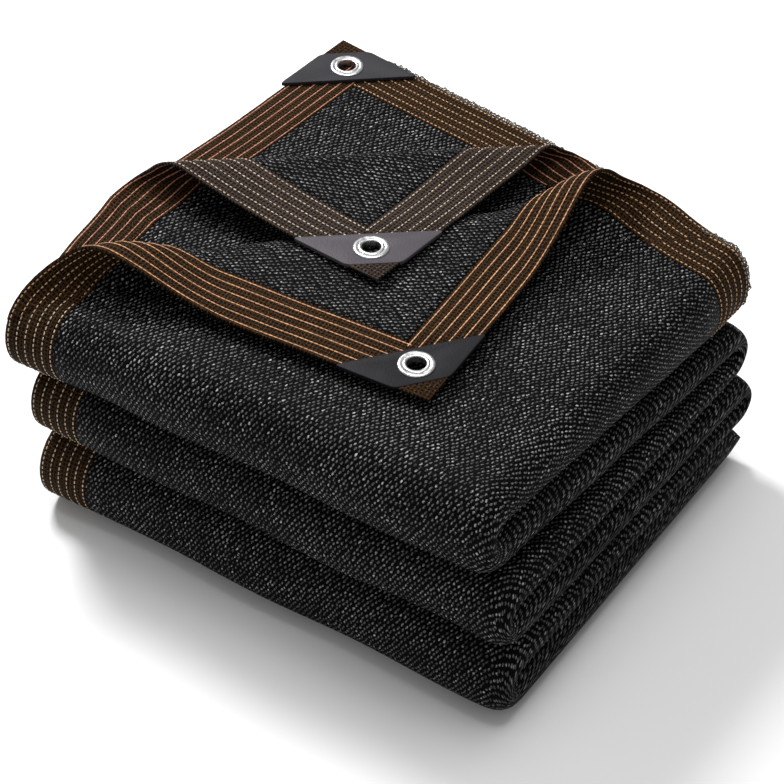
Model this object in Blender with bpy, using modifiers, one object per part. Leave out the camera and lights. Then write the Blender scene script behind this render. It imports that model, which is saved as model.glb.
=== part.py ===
"""Folded knitted shade cloth with taped edges, corner patches and eyelets.

The cloth was folded in half both ways and then back and forth into six layers.
Two corners of its top plies are peeled back towards the front right corner.
Lengths are metres, +Z is up, +Y runs from the front folds to the free end.
Sizes are counted from the pack's front left corner, and ORIGIN moves them last.
"""
import math
from dataclasses import dataclass
from functools import partial

import bmesh
import bpy
from mathutils import Matrix, Vector

# Driving sizes
ORIGIN = Vector((0.1694, 0.1622, 0.0))
STACK_TOP = 0.167
TAPE_WIDTH = 0.036
PART_GAP = 0.0003
MERGE_DISTANCE = 0.00001
SHEET_THICK = 0.002
PATCH_THICK = 0.0024
PATCH_LEG = 0.062
PATCH_CUT = 0.022
EYELET_OUTER = 0.011
EYELET_INNER = 0.00575
EYELET_BARREL = 0.0064
EYELET_FLANGE = 0.0009
EYELET_SEGMENTS = 24
PATCH_HOLE = 0.0068
EYELET_INSET = (PATCH_LEG + PATCH_CUT) / 4.0
FRAME_STEP = 0.004
EYELET_BEAD = 0.4
EYELET_EASE = 0.7

# How finely the pack is divided
RUN_STEPS = 4
TURN_STEPS = 8
END_STEPS = 4
ACROSS_STEPS = 8
SIDE_STEPS = 5

# Where the layers' front and back heights hold
HEIGHTS_FRONT = 0.020
HEIGHTS_BACK = 0.285

# The folds: how far a turn reaches for its height, and how deep a side is rounded
TURN_LEAST = 0.006
TURN_ROUND = 0.62
SIDE_ROUND = 0.017
LAST_FOLD_ROUND = 0.016
FRONT_WAVE = 0.0012
WAVE_LENGTH = 0.145


@dataclass(frozen=True)
class Layer:
    """One layer of the pack: heights at its front and back, and where its sides lie."""

    front_low: float
    front_high: float
    back_low: float
    back_high: float
    left: float
    right_front: float
    right_back: float


LAYERS = (
    Layer(0.1380, STACK_TOP, 0.1120, STACK_TOP, -0.006, 0.331, 0.340),
    Layer(0.1070, 0.1365, 0.0920, 0.1105, -0.006, 0.332, 0.343),
    Layer(0.0820, 0.1055, 0.0730, 0.0905, 0.002, 0.343, 0.345),
    Layer(0.0570, 0.0805, 0.0530, 0.0715, 0.003, 0.344, 0.350),
    Layer(0.0290, 0.0555, 0.0340, 0.0515, 0.004, 0.345, 0.349),
    Layer(0.0000, 0.0275, 0.0000, 0.0325, 0.004, 0.344, 0.345),
)
# Front edge of each front fold, and back edge of each back fold at the left and right
FRONT_EDGES = {0: -0.004, 2: 0.000, 4: 0.001}
BACK_EDGES = {1: (0.302, 0.290), 3: (0.304, 0.292), 5: (0.300, 0.287)}
# The top layer's left side: place from front to back, and where the side lies
TOP_LEFT_SIDE = ((0.000, -0.007), (0.045, -0.005), (0.105, -0.012), (0.160, -0.005),
                 (0.206, -0.001), (0.330, 0.006))
# The top layer's free end: place from left to right, and where the end lies
TOP_FREE_END = ((0.000, 0.3295), (0.157, 0.3115), (0.250, 0.2990), (0.315, 0.2850), (0.350, 0.2800))


@dataclass(frozen=True)
class Flap:
    """A peeled corner: its flat corner, and the straight line that it rolls back over."""

    corner: tuple[float, float]
    skew: float
    fold_start: tuple[float, float]
    fold_angle: float
    roll_left: float
    roll_right: float
    overturn: float
    rest_gap: float
    pressed: tuple[tuple[float, float], ...]
    side_length: float
    end_length: float


# pressed: place along the fold, and the share of the roll's height that is left there
FLAPS = {
    "top": Flap((0.0185, 0.2954), math.radians(-2.6), (0.0284, 0.0259), math.radians(44.6),
                0.0137, 0.0200, math.radians(15.3), 0.0045,
                ((0.020, 1.0), (0.085, 0.26), (0.255, 0.26), (0.315, 1.0)), 0.300, 0.320),
    "middle": Flap((0.0085, 0.3130), math.radians(-4.25), (0.0078, 0.1145), math.radians(41.1),
                   0.0135, 0.0088, math.radians(11.5), 0.0160,
                   ((0.000, 1.0), (0.300, 1.0)), 0.230, 0.260),
}
FLAP_BASE = STACK_TOP + PART_GAP + SHEET_THICK / 2.0
ROLL_SPAN = 0.30
ROOT_LENGTH = 0.010
ROOT_SLOPE = 0.5
ROLL_CUTS = 14
REST_CUTS = 5
ALONG_CUTS = 14
ALONG_STEP = 0.026
REST_SHARE = 0.45
LEAST_EDGE = 0.0004
FLAP_SEAM = 0.0006

# The flat back left corner of the ply below, whose patch tips up a little
BACK_CORNER = (0.0075, 0.3290)
BACK_SKEW = math.radians(-5.5)
BACK_TILT = math.radians(4.0)
SEAT_SLOPE = math.radians(20.0)
SEAT_SIZE = (0.20, 0.09, 0.04)

# Colour, roughness and metallic value of each finish
FINISHES = {
    "knit": ((0.020, 0.020, 0.022, 1.0), 0.62, 0.0),
    "tape": ((0.060, 0.034, 0.020, 1.0), 0.70, 0.0),
    "patch": ((0.075, 0.073, 0.082, 1.0), 0.45, 0.0),
    "eyelet": ((0.800, 0.800, 0.810, 1.0), 0.22, 1.0),
}


def mix(first, second, share):
    """Return the value that lies at a share of the way between two values."""
    return first + (second - first) * share


def read_rows(rows, place):
    """Read a short two-column table at a place, along straight lines."""
    for (near, first), (far, second) in zip(rows, rows[1:]):
        if place <= far:
            return mix(first, second, max(0.0, place - near) / (far - near))
    return rows[-1][1]


def run_height(layer, y, ply):
    """Height of a ply in a layer's straight run, at a place from front to back."""
    row = LAYERS[layer]
    depth = min(max((y - HEIGHTS_FRONT) / (HEIGHTS_BACK - HEIGHTS_FRONT), 0.0), 1.0)
    low = mix(row.front_low, row.back_low, depth)
    high = mix(row.front_high, row.back_high, depth)
    facing = 1.0 if layer % 2 == 0 else -1.0
    return (low + high) / 2.0 + facing * ply * (high - low) / 2.0


def turn_size(upper, y, ply):
    """Middle height, half height and reach of the turn between a layer and the one below it."""
    high = run_height(upper, y, ply)
    low = run_height(upper + 1, y, ply)
    half = (high - low) / 2.0
    return (high + low) / 2.0, half, TURN_LEAST + TURN_ROUND * max(half, 0.0)


def run_front(layer):
    """Where a layer's straight run starts at the front."""
    upper = layer - layer % 2
    return FRONT_EDGES[upper] + turn_size(upper, HEIGHTS_FRONT, 1.0)[2]


def run_back(layer, across):
    """Where a layer's straight run ends at the back, at a share of the width."""
    if layer == 0:
        row = LAYERS[0]
        return read_rows(TOP_FREE_END, mix(row.left, row.right_back, across))
    if layer == len(LAYERS) - 1:
        return mix(*BACK_EDGES[layer], across) - LAST_FOLD_ROUND
    upper = layer if layer % 2 == 1 else layer - 1
    return mix(*BACK_EDGES[upper], across) - turn_size(upper, HEIGHTS_BACK, -1.0)[2]


def side_places(layer, depth, y):
    """Left and right side of a layer at a share of the way to the back."""
    row = LAYERS[layer]
    left = read_rows(TOP_LEFT_SIDE, y) if layer == 0 else row.left
    return left, mix(row.right_front, row.right_back, depth)


def path_stations(inset):
    """Stations of a ply's way through the pack, from the free end down to the last fold.

    A station is its kind, its layer, and its share of the run or turn.
    """
    stations = []
    for layer in range(len(LAYERS)):
        for step in range(RUN_STEPS + 1):
            share = step / RUN_STEPS
            depth = 1.0 - share if layer % 2 == 0 else share
            stations.append(("run", layer, depth, inset if layer == 0 else 0.0))
        if layer < len(LAYERS) - 1:
            stations += [("turn", layer, step / TURN_STEPS, 0.0) for step in range(1, TURN_STEPS)]
    last = len(LAYERS) - 1
    return stations + [("end", last, step / END_STEPS, 0.0) for step in range(1, END_STEPS + 1)]


def path_point(station, across, ply):
    """Y, Z and both sides of the layer where a ply passes a station."""
    kind, layer, share, inset = station
    if kind == "run":
        back = run_back(layer, across) - inset
        y = mix(run_front(layer), back, share)
        sides = side_places(layer, share, y)
        return y, run_height(layer, y, ply), sides
    if kind == "end":
        angle = share * math.pi / 2.0
        y = run_back(layer, across) + LAST_FOLD_ROUND * math.sin(angle)
        middle = run_height(layer, HEIGHTS_BACK, 0.0)
        z = middle + (run_height(layer, HEIGHTS_BACK, ply) - middle) * math.cos(angle)
        return y, z, side_places(layer, 1.0, y)
    at_front = layer % 2 == 0
    depth = 0.0 if at_front else 1.0
    start = run_front(layer) if at_front else run_back(layer, across)
    middle, half, reach = turn_size(layer, start, ply)
    angle = share * math.pi
    y = start - reach * math.sin(angle) if at_front else start + reach * math.sin(angle)
    upper = side_places(layer, depth, y)
    lower = side_places(layer + 1, depth, y)
    sides = (mix(upper[0], lower[0], share), mix(upper[1], lower[1], share))
    return y, middle + half * math.cos(angle), sides


def pack_point(station, across, ply, inset_left, round_angle=0.0):
    """Place of a ply at a station, at a share of the width or round the closed right side."""
    y, z, (left, right) = path_point(station, across, ply * math.cos(round_angle))
    x = mix(left + inset_left, right - SIDE_ROUND, across) + SIDE_ROUND * math.sin(round_angle)
    at_front = station[0] == "turn" and station[1] % 2 == 0
    wave = FRONT_WAVE * math.sin(2.0 * math.pi * x / WAVE_LENGTH + station[1]) if at_front else 0.0
    return Vector((x, y + wave * math.sin(station[2] * math.pi), z)) - ORIGIN


def loft(name, rings, closed_end):
    """Join rings of points into one closed body; a closed end folds onto itself."""
    mesh = bpy.data.meshes.new(name)
    shape = bmesh.new()
    rows = [[shape.verts.new(point) for point in ring] for ring in rings]
    count = len(rows[0])
    for row, following in zip(rows, rows[1:]):
        for index in range(count):
            after = (index + 1) % count
            shape.faces.new((row[index], row[after], following[after], following[index]))
    for row in rows[:1] if closed_end else (rows[0], rows[-1]):
        for index in range(count // 2 - 1):
            partner = count - 1 - index
            shape.faces.new((row[index], row[index + 1], row[partner - 1], row[partner]))
    bmesh.ops.remove_doubles(shape, verts=shape.verts, dist=MERGE_DISTANCE * 2.0)
    bmesh.ops.triangulate(shape, faces=shape.faces)
    bmesh.ops.dissolve_degenerate(shape, edges=shape.edges, dist=MERGE_DISTANCE)
    bmesh.ops.recalc_face_normals(shape, faces=shape.faces)
    shape.to_mesh(mesh)
    shape.free()
    return mesh


def pack_rings(stations, inset_left):
    """Rings of a strip of the pack that reaches to its closed right side."""
    rings = []
    spots = [(step / ACROSS_STEPS, 0.0) for step in range(ACROSS_STEPS + 1)]
    spots += [(1.0, step / SIDE_STEPS * math.pi / 2.0) for step in range(1, SIDE_STEPS + 1)]
    for across, angle in spots:
        upper = [pack_point(station, across, 1.0, inset_left, angle) for station in stations]
        lower = [pack_point(station, across, -1.0, inset_left, angle) for station in stations]
        rings.append(upper + lower[::-1])
    return rings


def side_tape_rings(stations):
    """Rings of the taped left edge of all the plies."""
    rings = []
    for inset in (0.0, TAPE_WIDTH / 2.0, TAPE_WIDTH):
        upper = [pack_point(station, 0.0, 1.0, inset) for station in stations]
        lower = [pack_point(station, 0.0, -1.0, inset) for station in stations]
        rings.append(upper + lower[::-1])
    return rings


def end_tape_stations():
    """Stations of the taped free end, which is a tape's width of the top layer."""
    stations = []
    for inset in (0.0, TAPE_WIDTH / 2.0, TAPE_WIDTH):
        stations.append(("run", 0, 1.0, inset))
    return stations


def pressed_share(flap, along):
    """Share of a roll's height that is left at a place along its fold, eased between rows."""
    rows = flap.pressed
    for (near, first), (far, second) in zip(rows, rows[1:]):
        if along <= far:
            share = max(0.0, along - near) / (far - near)
            return mix(first, second, share * share * (3.0 - 2.0 * share))
    return rows[-1][1]


def roll_profile(past, radius, overturn, rest):
    """Advance and height of cloth that rolls back over a fold, at a length past the fold."""
    if past < 0.0:
        return past, ROOT_SLOPE * past
    turned = radius * (math.pi + overturn)
    angle = min(past, turned) / radius
    advance = radius * math.sin(angle)
    height = radius * (1.0 - math.cos(angle))
    if past > turned:
        ease = (radius * (1.0 + math.cos(overturn)) - rest) / (1.0 - math.cos(overturn))
        slope = math.pi + overturn - min(past - turned, ease * overturn) / ease
        advance += ease * (math.sin(math.pi + overturn) - math.sin(slope))
        height += ease * (math.cos(slope) - math.cos(math.pi + overturn))
        advance -= max(0.0, past - turned - ease * overturn)
    return advance, height


def flap_point(flap, u, w):
    """Place of a flap's point that lies u from its side edge and w from its end edge."""
    run = Vector((math.cos(flap.skew), math.sin(flap.skew)))
    drop = Vector((math.sin(flap.skew), -math.cos(flap.skew)))
    flat = Vector(flap.corner) + run * u + drop * w - Vector(flap.fold_start)
    fold = Vector((math.cos(flap.fold_angle), math.sin(flap.fold_angle)))
    back = Vector((-fold.y, fold.x))
    along = flat.dot(fold)
    past = flat.dot(back)
    radius = mix(flap.roll_left, flap.roll_right, min(max(along / ROLL_SPAN, 0.0), 1.0))
    advance, height = roll_profile(past, radius, flap.overturn, flap.rest_gap)
    if past > 0.0:
        share = pressed_share(flap, along)
        height = height * share + (1.0 - share) * flap.rest_gap * min(past / (math.pi * radius), 1.0)
    spot = Vector(flap.fold_start) + fold * along + back * advance
    return Vector((spot.x, spot.y, FLAP_BASE + height)) - ORIGIN


def fold_distance(flap, u, w):
    """Length of cloth between a flap's fold and one of its points."""
    run = Vector((math.cos(flap.skew), math.sin(flap.skew)))
    drop = Vector((math.sin(flap.skew), -math.cos(flap.skew)))
    flat = Vector(flap.corner) + run * u + drop * w - Vector(flap.fold_start)
    return flat.dot(Vector((-math.sin(flap.fold_angle), math.cos(flap.fold_angle))))


def slice_sheet(shape, direction, place, clear=False):
    """Cut a flat sheet along a line, and clear what lies before it if asked."""
    everything = shape.verts[:] + shape.edges[:] + shape.faces[:]
    bmesh.ops.bisect_plane(shape, geom=everything, plane_co=direction * place, plane_no=direction, clear_inner=clear)


def flap_sheet(name, flap, outline, root):
    """Bend a flat outline over the flap's fold: cut it in strips, then lift its points."""
    shape = bmesh.new()
    shape.faces.new([shape.verts.new((u, w, 0.0)) for u, w in outline])
    angle = flap.fold_angle - flap.skew
    across = Vector((-math.sin(angle), -math.cos(angle), 0.0))
    along = Vector((math.cos(angle), -math.sin(angle), 0.0))
    fold_at = -fold_distance(flap, 0.0, 0.0)
    turned = math.pi * max(flap.roll_left, flap.roll_right)
    pasts = [turned * step / ROLL_CUTS for step in range(ROLL_CUTS + 1)]
    pasts += [turned * (1.0 + step * REST_SHARE) for step in range(1, REST_CUTS + 1)]
    slice_sheet(shape, across, fold_at + root, True)
    for past in pasts:
        slice_sheet(shape, across, fold_at + past)
    for step in range(-ALONG_CUTS, ALONG_CUTS):
        slice_sheet(shape, along, ALONG_STEP * step)
    bmesh.ops.dissolve_degenerate(shape, edges=shape.edges, dist=LEAST_EDGE)
    bmesh.ops.triangulate(shape, faces=shape.faces)
    for vert in shape.verts:
        vert.co = flap_point(flap, vert.co.x, vert.co.y)
    mesh = bpy.data.meshes.new(name)
    shape.to_mesh(mesh)
    shape.free()
    return mesh


def corner_frame(place):
    """Frame at a corner's eyelet: X along the end edge and Z upwards, as its ply lies."""
    centre = place(EYELET_INSET, EYELET_INSET)
    run = (place(EYELET_INSET + FRAME_STEP, EYELET_INSET) - centre).normalized()
    drop = (place(EYELET_INSET, EYELET_INSET + FRAME_STEP) - centre).normalized()
    up = run.cross(drop).normalized()
    if up.z < 0.0:
        up = -up
    matrix = Matrix((run, up.cross(run), up)).transposed().to_4x4()
    matrix.translation = centre
    return matrix


def back_directions():
    """Directions of the back corner's end edge and side edge, laid flat."""
    run = Vector((math.cos(BACK_SKEW), math.sin(BACK_SKEW), 0.0))
    drop = Vector((math.sin(BACK_SKEW), -math.cos(BACK_SKEW), 0.0))
    return run, drop


def back_point(u, w):
    """Place of a point of the back corner, which tips up from its patch's long edge."""
    run, drop = back_directions()
    beyond = max(0.0, (PATCH_LEG - u - w) / math.sqrt(2.0))
    spot = Vector((*BACK_CORNER, STACK_TOP + PART_GAP + PATCH_THICK / 2.0)) + run * u + drop * w
    spot.z += beyond * math.tan(BACK_TILT)
    return spot - ORIGIN


def plate_mesh(name, outline, hole, thickness):
    """A flat plate from a 2D curve, with a round hole when hole is above zero."""
    curve = bpy.data.curves.new(name, "CURVE")
    curve.dimensions = "2D"
    curve.fill_mode = "BOTH"
    curve.extrude = thickness / 2.0
    loops = [outline]
    if hole > 0.0:
        turns = [2.0 * math.pi * step / EYELET_SEGMENTS for step in range(EYELET_SEGMENTS)]
        loops.append([(hole * math.cos(turn), hole * math.sin(turn)) for turn in turns])
    for loop in loops:
        spline = curve.splines.new("POLY")
        spline.points.add(len(loop) - 1)
        spline.use_cyclic_u = True
        for point, (x, y) in zip(spline.points, loop):
            point.co = (x, y, 0.0, 1.0)
    holder = bpy.data.objects.new(name + "_outline", curve)
    bpy.context.scene.collection.objects.link(holder)
    bpy.context.view_layer.update()
    filled = holder.evaluated_get(bpy.context.evaluated_depsgraph_get())
    mesh = bpy.data.meshes.new_from_object(filled)
    bpy.data.objects.remove(holder)
    shape = bmesh.new()
    shape.from_mesh(mesh)
    bmesh.ops.remove_doubles(shape, verts=shape.verts, dist=MERGE_DISTANCE)
    bmesh.ops.recalc_face_normals(shape, faces=shape.faces)
    shape.to_mesh(mesh)
    shape.free()
    mesh.name = name
    return mesh


def corner_outline(points, place, matrix):
    """Outline in a corner's frame, from distances to its side and end edges."""
    inverse = matrix.inverted()
    return [(inverse @ place(u, w)).to_2d() for u, w in points]


def eyelet_mesh(name):
    """Closed ring profile of an eyelet: a barrel with a rolled flange on each face."""
    seat = PATCH_THICK / 2.0 + PART_GAP
    rim = seat + EYELET_FLANGE
    crown = rim + EYELET_FLANGE / 3.0
    bead = mix(EYELET_INNER, EYELET_OUTER, EYELET_BEAD)
    half = [(EYELET_INNER, rim * EYELET_EASE), (mix(EYELET_INNER, bead, EYELET_BEAD), rim), (bead, crown),
            (EYELET_OUTER, rim - EYELET_FLANGE / 3.0), (EYELET_OUTER, seat), (EYELET_BARREL, seat)]
    profile = half + [(radius, -height) for radius, height in reversed(half)]
    shape = bmesh.new()
    verts = [shape.verts.new((radius, 0.0, height)) for radius, height in profile]
    for vert, following in zip(verts, verts[1:] + verts[:1]):
        shape.edges.new((vert, following))
    mesh = bpy.data.meshes.new(name)
    shape.to_mesh(mesh)
    shape.free()
    return mesh


def material(finish):
    """The material of a finish, made once."""
    name = finish + "_finish"
    if name in bpy.data.materials:
        return bpy.data.materials[name]
    colour, roughness, metallic = FINISHES[finish]
    made = bpy.data.materials.new(name)
    made.use_nodes = True
    shader = made.node_tree.nodes["Principled BSDF"]
    shader.inputs["Base Color"].default_value = colour
    shader.inputs["Roughness"].default_value = roughness
    shader.inputs["Metallic"].default_value = metallic
    return made


def add_object(name, mesh, collection, finish=None):
    """Put a mesh in a collection as a named object with its finish."""
    made = bpy.data.objects.new(name, mesh)
    collection.objects.link(made)
    if finish:
        mesh.materials.clear()
        mesh.materials.append(material(finish))
    else:
        made.hide_render = True
        made.display_type = "WIRE"
    return made


def add_boolean(made, other, operation):
    """Join or cut an object with another one."""
    modifier = made.modifiers.new(operation.title(), "BOOLEAN")
    modifier.operation = operation
    modifier.object = other


def add_thickness(made, thickness):
    """Give an open sheet its thickness, half to each side."""
    modifier = made.modifiers.new("Thickness", "SOLIDIFY")
    modifier.thickness = thickness
    modifier.offset = 0.0


def add_panel(parts, cutters):
    """The knitted cloth: the folded pack with both peeled corners, as one solid."""
    stations = path_stations(TAPE_WIDTH + PART_GAP)
    body = loft("panel", pack_rings(stations, TAPE_WIDTH + PART_GAP), True)
    panel = add_object("panel", body, parts, "knit")
    edge = TAPE_WIDTH + FLAP_SEAM
    for name, flap in FLAPS.items():
        outline = [(edge, edge), (flap.end_length, edge), (edge, flap.side_length)]
        bent = flap_sheet(name, flap, outline, -ROOT_LENGTH)
        sheet = add_object("peeled_cloth_" + name, bent, cutters)
        add_thickness(sheet, SHEET_THICK)
        add_boolean(panel, sheet, "UNION")


def add_tapes(parts, cutters):
    """The edge tape: the pack's taped side and free end, and two strips on each peeled corner."""
    side_rings = side_tape_rings(path_stations(0.0))
    side = add_object("side_tape", loft("side_tape", side_rings, False), parts, "tape")
    end_rings = pack_rings(end_tape_stations(), TAPE_WIDTH + PART_GAP)
    end = add_object("end_tape", loft("end_tape", end_rings, True), parts, "tape")
    seat = add_seat_cutter(cutters)
    add_boolean(side, seat, "DIFFERENCE")
    add_boolean(end, seat, "DIFFERENCE")
    leg = PATCH_LEG + PART_GAP * 1.5
    mitre = PART_GAP * 0.4
    for name, flap in FLAPS.items():
        side_strip = [(0.0, leg), (leg / 2.0 - mitre, leg / 2.0 + mitre)]
        side_strip += [(TAPE_WIDTH, TAPE_WIDTH + 2.0 * mitre), (TAPE_WIDTH, flap.side_length)]
        side_strip += [(0.0, flap.side_length)]
        end_strip = [(leg, 0.0), (flap.end_length, 0.0), (flap.end_length, TAPE_WIDTH)]
        end_strip += [(TAPE_WIDTH + 2.0 * mitre, TAPE_WIDTH), (leg / 2.0 + mitre, leg / 2.0 - mitre)]
        strips = {"side": side_strip, "end": end_strip}
        for edge, outline in strips.items():
            node = f"{edge}_tape_{name}"
            strip = add_object(node, flap_sheet(node, flap, outline, 0.0), parts, "tape")
            add_thickness(strip, SHEET_THICK)


def add_seat_cutter(cutters):
    """A wedge that steps the stack down under the back corner's patch."""
    run, drop = back_directions()
    outward = -(run + drop).normalized()
    hinge = Vector((*BACK_CORNER, STACK_TOP)) + (run + drop) * PATCH_LEG / 2.0 - ORIGIN
    slope = (outward * math.cos(SEAT_SLOPE) - Vector((0.0, 0.0, math.sin(SEAT_SLOPE)))).normalized()
    along = outward.cross(Vector((0.0, 0.0, 1.0))).normalized()
    up = along.cross(slope).normalized()
    up = up if up.z > 0.0 else -up
    shape = bmesh.new()
    bmesh.ops.create_cube(shape, size=1.0)
    bmesh.ops.scale(shape, vec=SEAT_SIZE, verts=shape.verts)
    bmesh.ops.translate(shape, vec=(0.0, SEAT_SIZE[1] / 2.0, SEAT_SIZE[2] / 2.0), verts=shape.verts)
    frame = Matrix((along, slope, up)).transposed().to_4x4()
    frame.translation = hinge
    bmesh.ops.transform(shape, matrix=frame, verts=shape.verts)
    bmesh.ops.recalc_face_normals(shape, faces=shape.faces)
    mesh = bpy.data.meshes.new("patch_seat")
    shape.to_mesh(mesh)
    shape.free()
    return add_object("patch_seat", mesh, cutters)


def add_corner(name, place, parts):
    """A corner patch with its eyelet, and the taped corner that shows beyond the patch."""
    matrix = corner_frame(place)
    patch_points = ((PATCH_LEG, 0.0), (PATCH_CUT, 0.0), (0.0, PATCH_CUT), (0.0, PATCH_LEG))
    tip = PATCH_CUT - PART_GAP * 1.5
    tip_points = ((0.0, 0.0), (tip, 0.0), (0.0, tip))
    patch_outline = corner_outline(patch_points, place, matrix)
    tip_outline = corner_outline(tip_points, place, matrix)
    patch = plate_mesh("corner_patch_" + name, patch_outline, PATCH_HOLE, PATCH_THICK)
    corner = plate_mesh("taped_corner_" + name, tip_outline, 0.0, SHEET_THICK)
    add_object("corner_patch_" + name, patch, parts, "patch").matrix_world = matrix
    add_object("taped_corner_" + name, corner, parts, "tape").matrix_world = matrix
    eyelet = add_object("eyelet_" + name, eyelet_mesh("eyelet_" + name), parts, "eyelet")
    eyelet.matrix_world = matrix
    screw = eyelet.modifiers.new("Turn", "SCREW")
    screw.steps = EYELET_SEGMENTS
    screw.render_steps = EYELET_SEGMENTS
    screw.use_merge_vertices = True
    screw.merge_threshold = MERGE_DISTANCE
    screw.use_normal_calculate = True


def build_cloth():
    """Clear the scene, then make every piece of the folded cloth."""
    for old in list(bpy.data.objects):
        bpy.data.objects.remove(old)
    parts = bpy.data.collections.new("folded_shade_cloth")
    cutters = bpy.data.collections.new("cutters")
    for collection in (parts, cutters):
        bpy.context.scene.collection.children.link(collection)
    add_panel(parts, cutters)
    add_tapes(parts, cutters)
    for name, flap in FLAPS.items():
        add_corner(name, partial(flap_point, flap), parts)
    add_corner("back", back_point, parts)


build_cloth()
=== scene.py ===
"""Looks of the folded shade cloth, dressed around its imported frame.

Lengths are metres in the frame of the part. Sizes that the frame doesn't hold are
counted from the pack's front left corner and moved by ORIGIN, as in the part's source.
"""
from __future__ import annotations

import logging
import math
from dataclasses import dataclass, field
from enum import Enum
from typing import Callable, Iterable, Sequence

import bmesh
import bpy
from mathutils import Matrix, Vector, noise

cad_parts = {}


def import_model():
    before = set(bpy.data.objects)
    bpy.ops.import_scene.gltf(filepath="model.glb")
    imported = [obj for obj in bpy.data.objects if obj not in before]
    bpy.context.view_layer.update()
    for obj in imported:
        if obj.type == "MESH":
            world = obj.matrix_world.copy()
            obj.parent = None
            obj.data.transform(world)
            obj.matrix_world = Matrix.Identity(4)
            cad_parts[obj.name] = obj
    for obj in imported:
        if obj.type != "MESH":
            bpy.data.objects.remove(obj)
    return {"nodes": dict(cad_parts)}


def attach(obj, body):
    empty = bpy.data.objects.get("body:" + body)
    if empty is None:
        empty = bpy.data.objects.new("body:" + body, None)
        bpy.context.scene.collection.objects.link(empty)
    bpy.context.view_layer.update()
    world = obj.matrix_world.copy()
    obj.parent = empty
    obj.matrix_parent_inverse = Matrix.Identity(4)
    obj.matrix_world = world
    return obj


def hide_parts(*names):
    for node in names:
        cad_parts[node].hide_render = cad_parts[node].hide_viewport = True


LOG = logging.getLogger("shade_cloth")
BODY = "root"
ORIGIN = Vector((0.1694, 0.1622, 0.0))
STACK_TOP = 0.167
TAPE_WIDTH = 0.036
PATCH_LEG = 0.062
PATCH_CUT = 0.022
EYELET_INSET = (PATCH_LEG + PATCH_CUT) / 4.0
RUMPLE_SEED = 5

PATCH_LAP = 0.004
BESIDE = 0.002
TAPE_STEPS = 5
SIDE_TURN = 12.0
ROUND_SHARE = 0.97

LEG_SLANT = math.radians(-20.0)
LEG_LENGTH = 0.60
LEG_WIDTH = 0.26
LEG_STRAY = 0.34
LOWER_LEG = 0.18
COURSE_SHIFT = 0.5

Rows = Sequence[tuple[float, float]]
Place = Callable[[float, float], Vector]
Colour = tuple[float, float, float, float]
GridRows = list[list[tuple[Vector, float, float]]]
Socket = bpy.types.NodeSocket
Node = bpy.types.Node
Tree = bpy.types.NodeTree
Piece = bpy.types.Object
Mesh = bpy.types.Mesh


def mix(first: float, second: float, share: float) -> float:
    """Return the value at a share of the way between two values."""
    return first + (second - first) * share


def clamp(share: float, most: float = 1.0) -> float:
    """Hold a share between zero and its limit."""
    return min(max(share, 0.0), most)


def smooth(share: float) -> float:
    """Ease a share in and out."""
    return share * share * (3.0 - 2.0 * share)


def toned(colour: Colour, share: float) -> Colour:
    """Return a colour made darker or lighter."""
    return tuple(min(value * share, 1.0) for value in colour[:3]) + (1.0,)


def read_rows(rows: Rows, place: float, eased: bool = False) -> float:
    """Read a two-column table.

    Args:
        rows: Places and values, with places that grow.
        place: Where to read.
        eased: Whether the value eases in and out of each row.

    Returns:
        The value at the place.
    """
    for (near, first), (far, second) in zip(rows, rows[1:]):
        if place <= far:
            share = max(0.0, place - near) / (far - near)
            return mix(first, second, smooth(share) if eased else share)
    return rows[-1][1]


class Side(Enum):
    """Which face of the cloth a row of sewing shows."""

    NEEDLE = "needle"
    BOBBIN = "bobbin"


@dataclass(frozen=True)
class Layer:
    """One layer of the pack: heights at its front and back, and where its sides lie."""

    front_low: float
    front_high: float
    back_low: float
    back_high: float
    left: float
    right_front: float
    right_back: float


@dataclass(frozen=True)
class Station:
    """A stop on a ply's way through the pack: its kind, layer, share and inset from the free end."""

    kind: str
    layer: int
    share: float
    inset: float = 0.0


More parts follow.
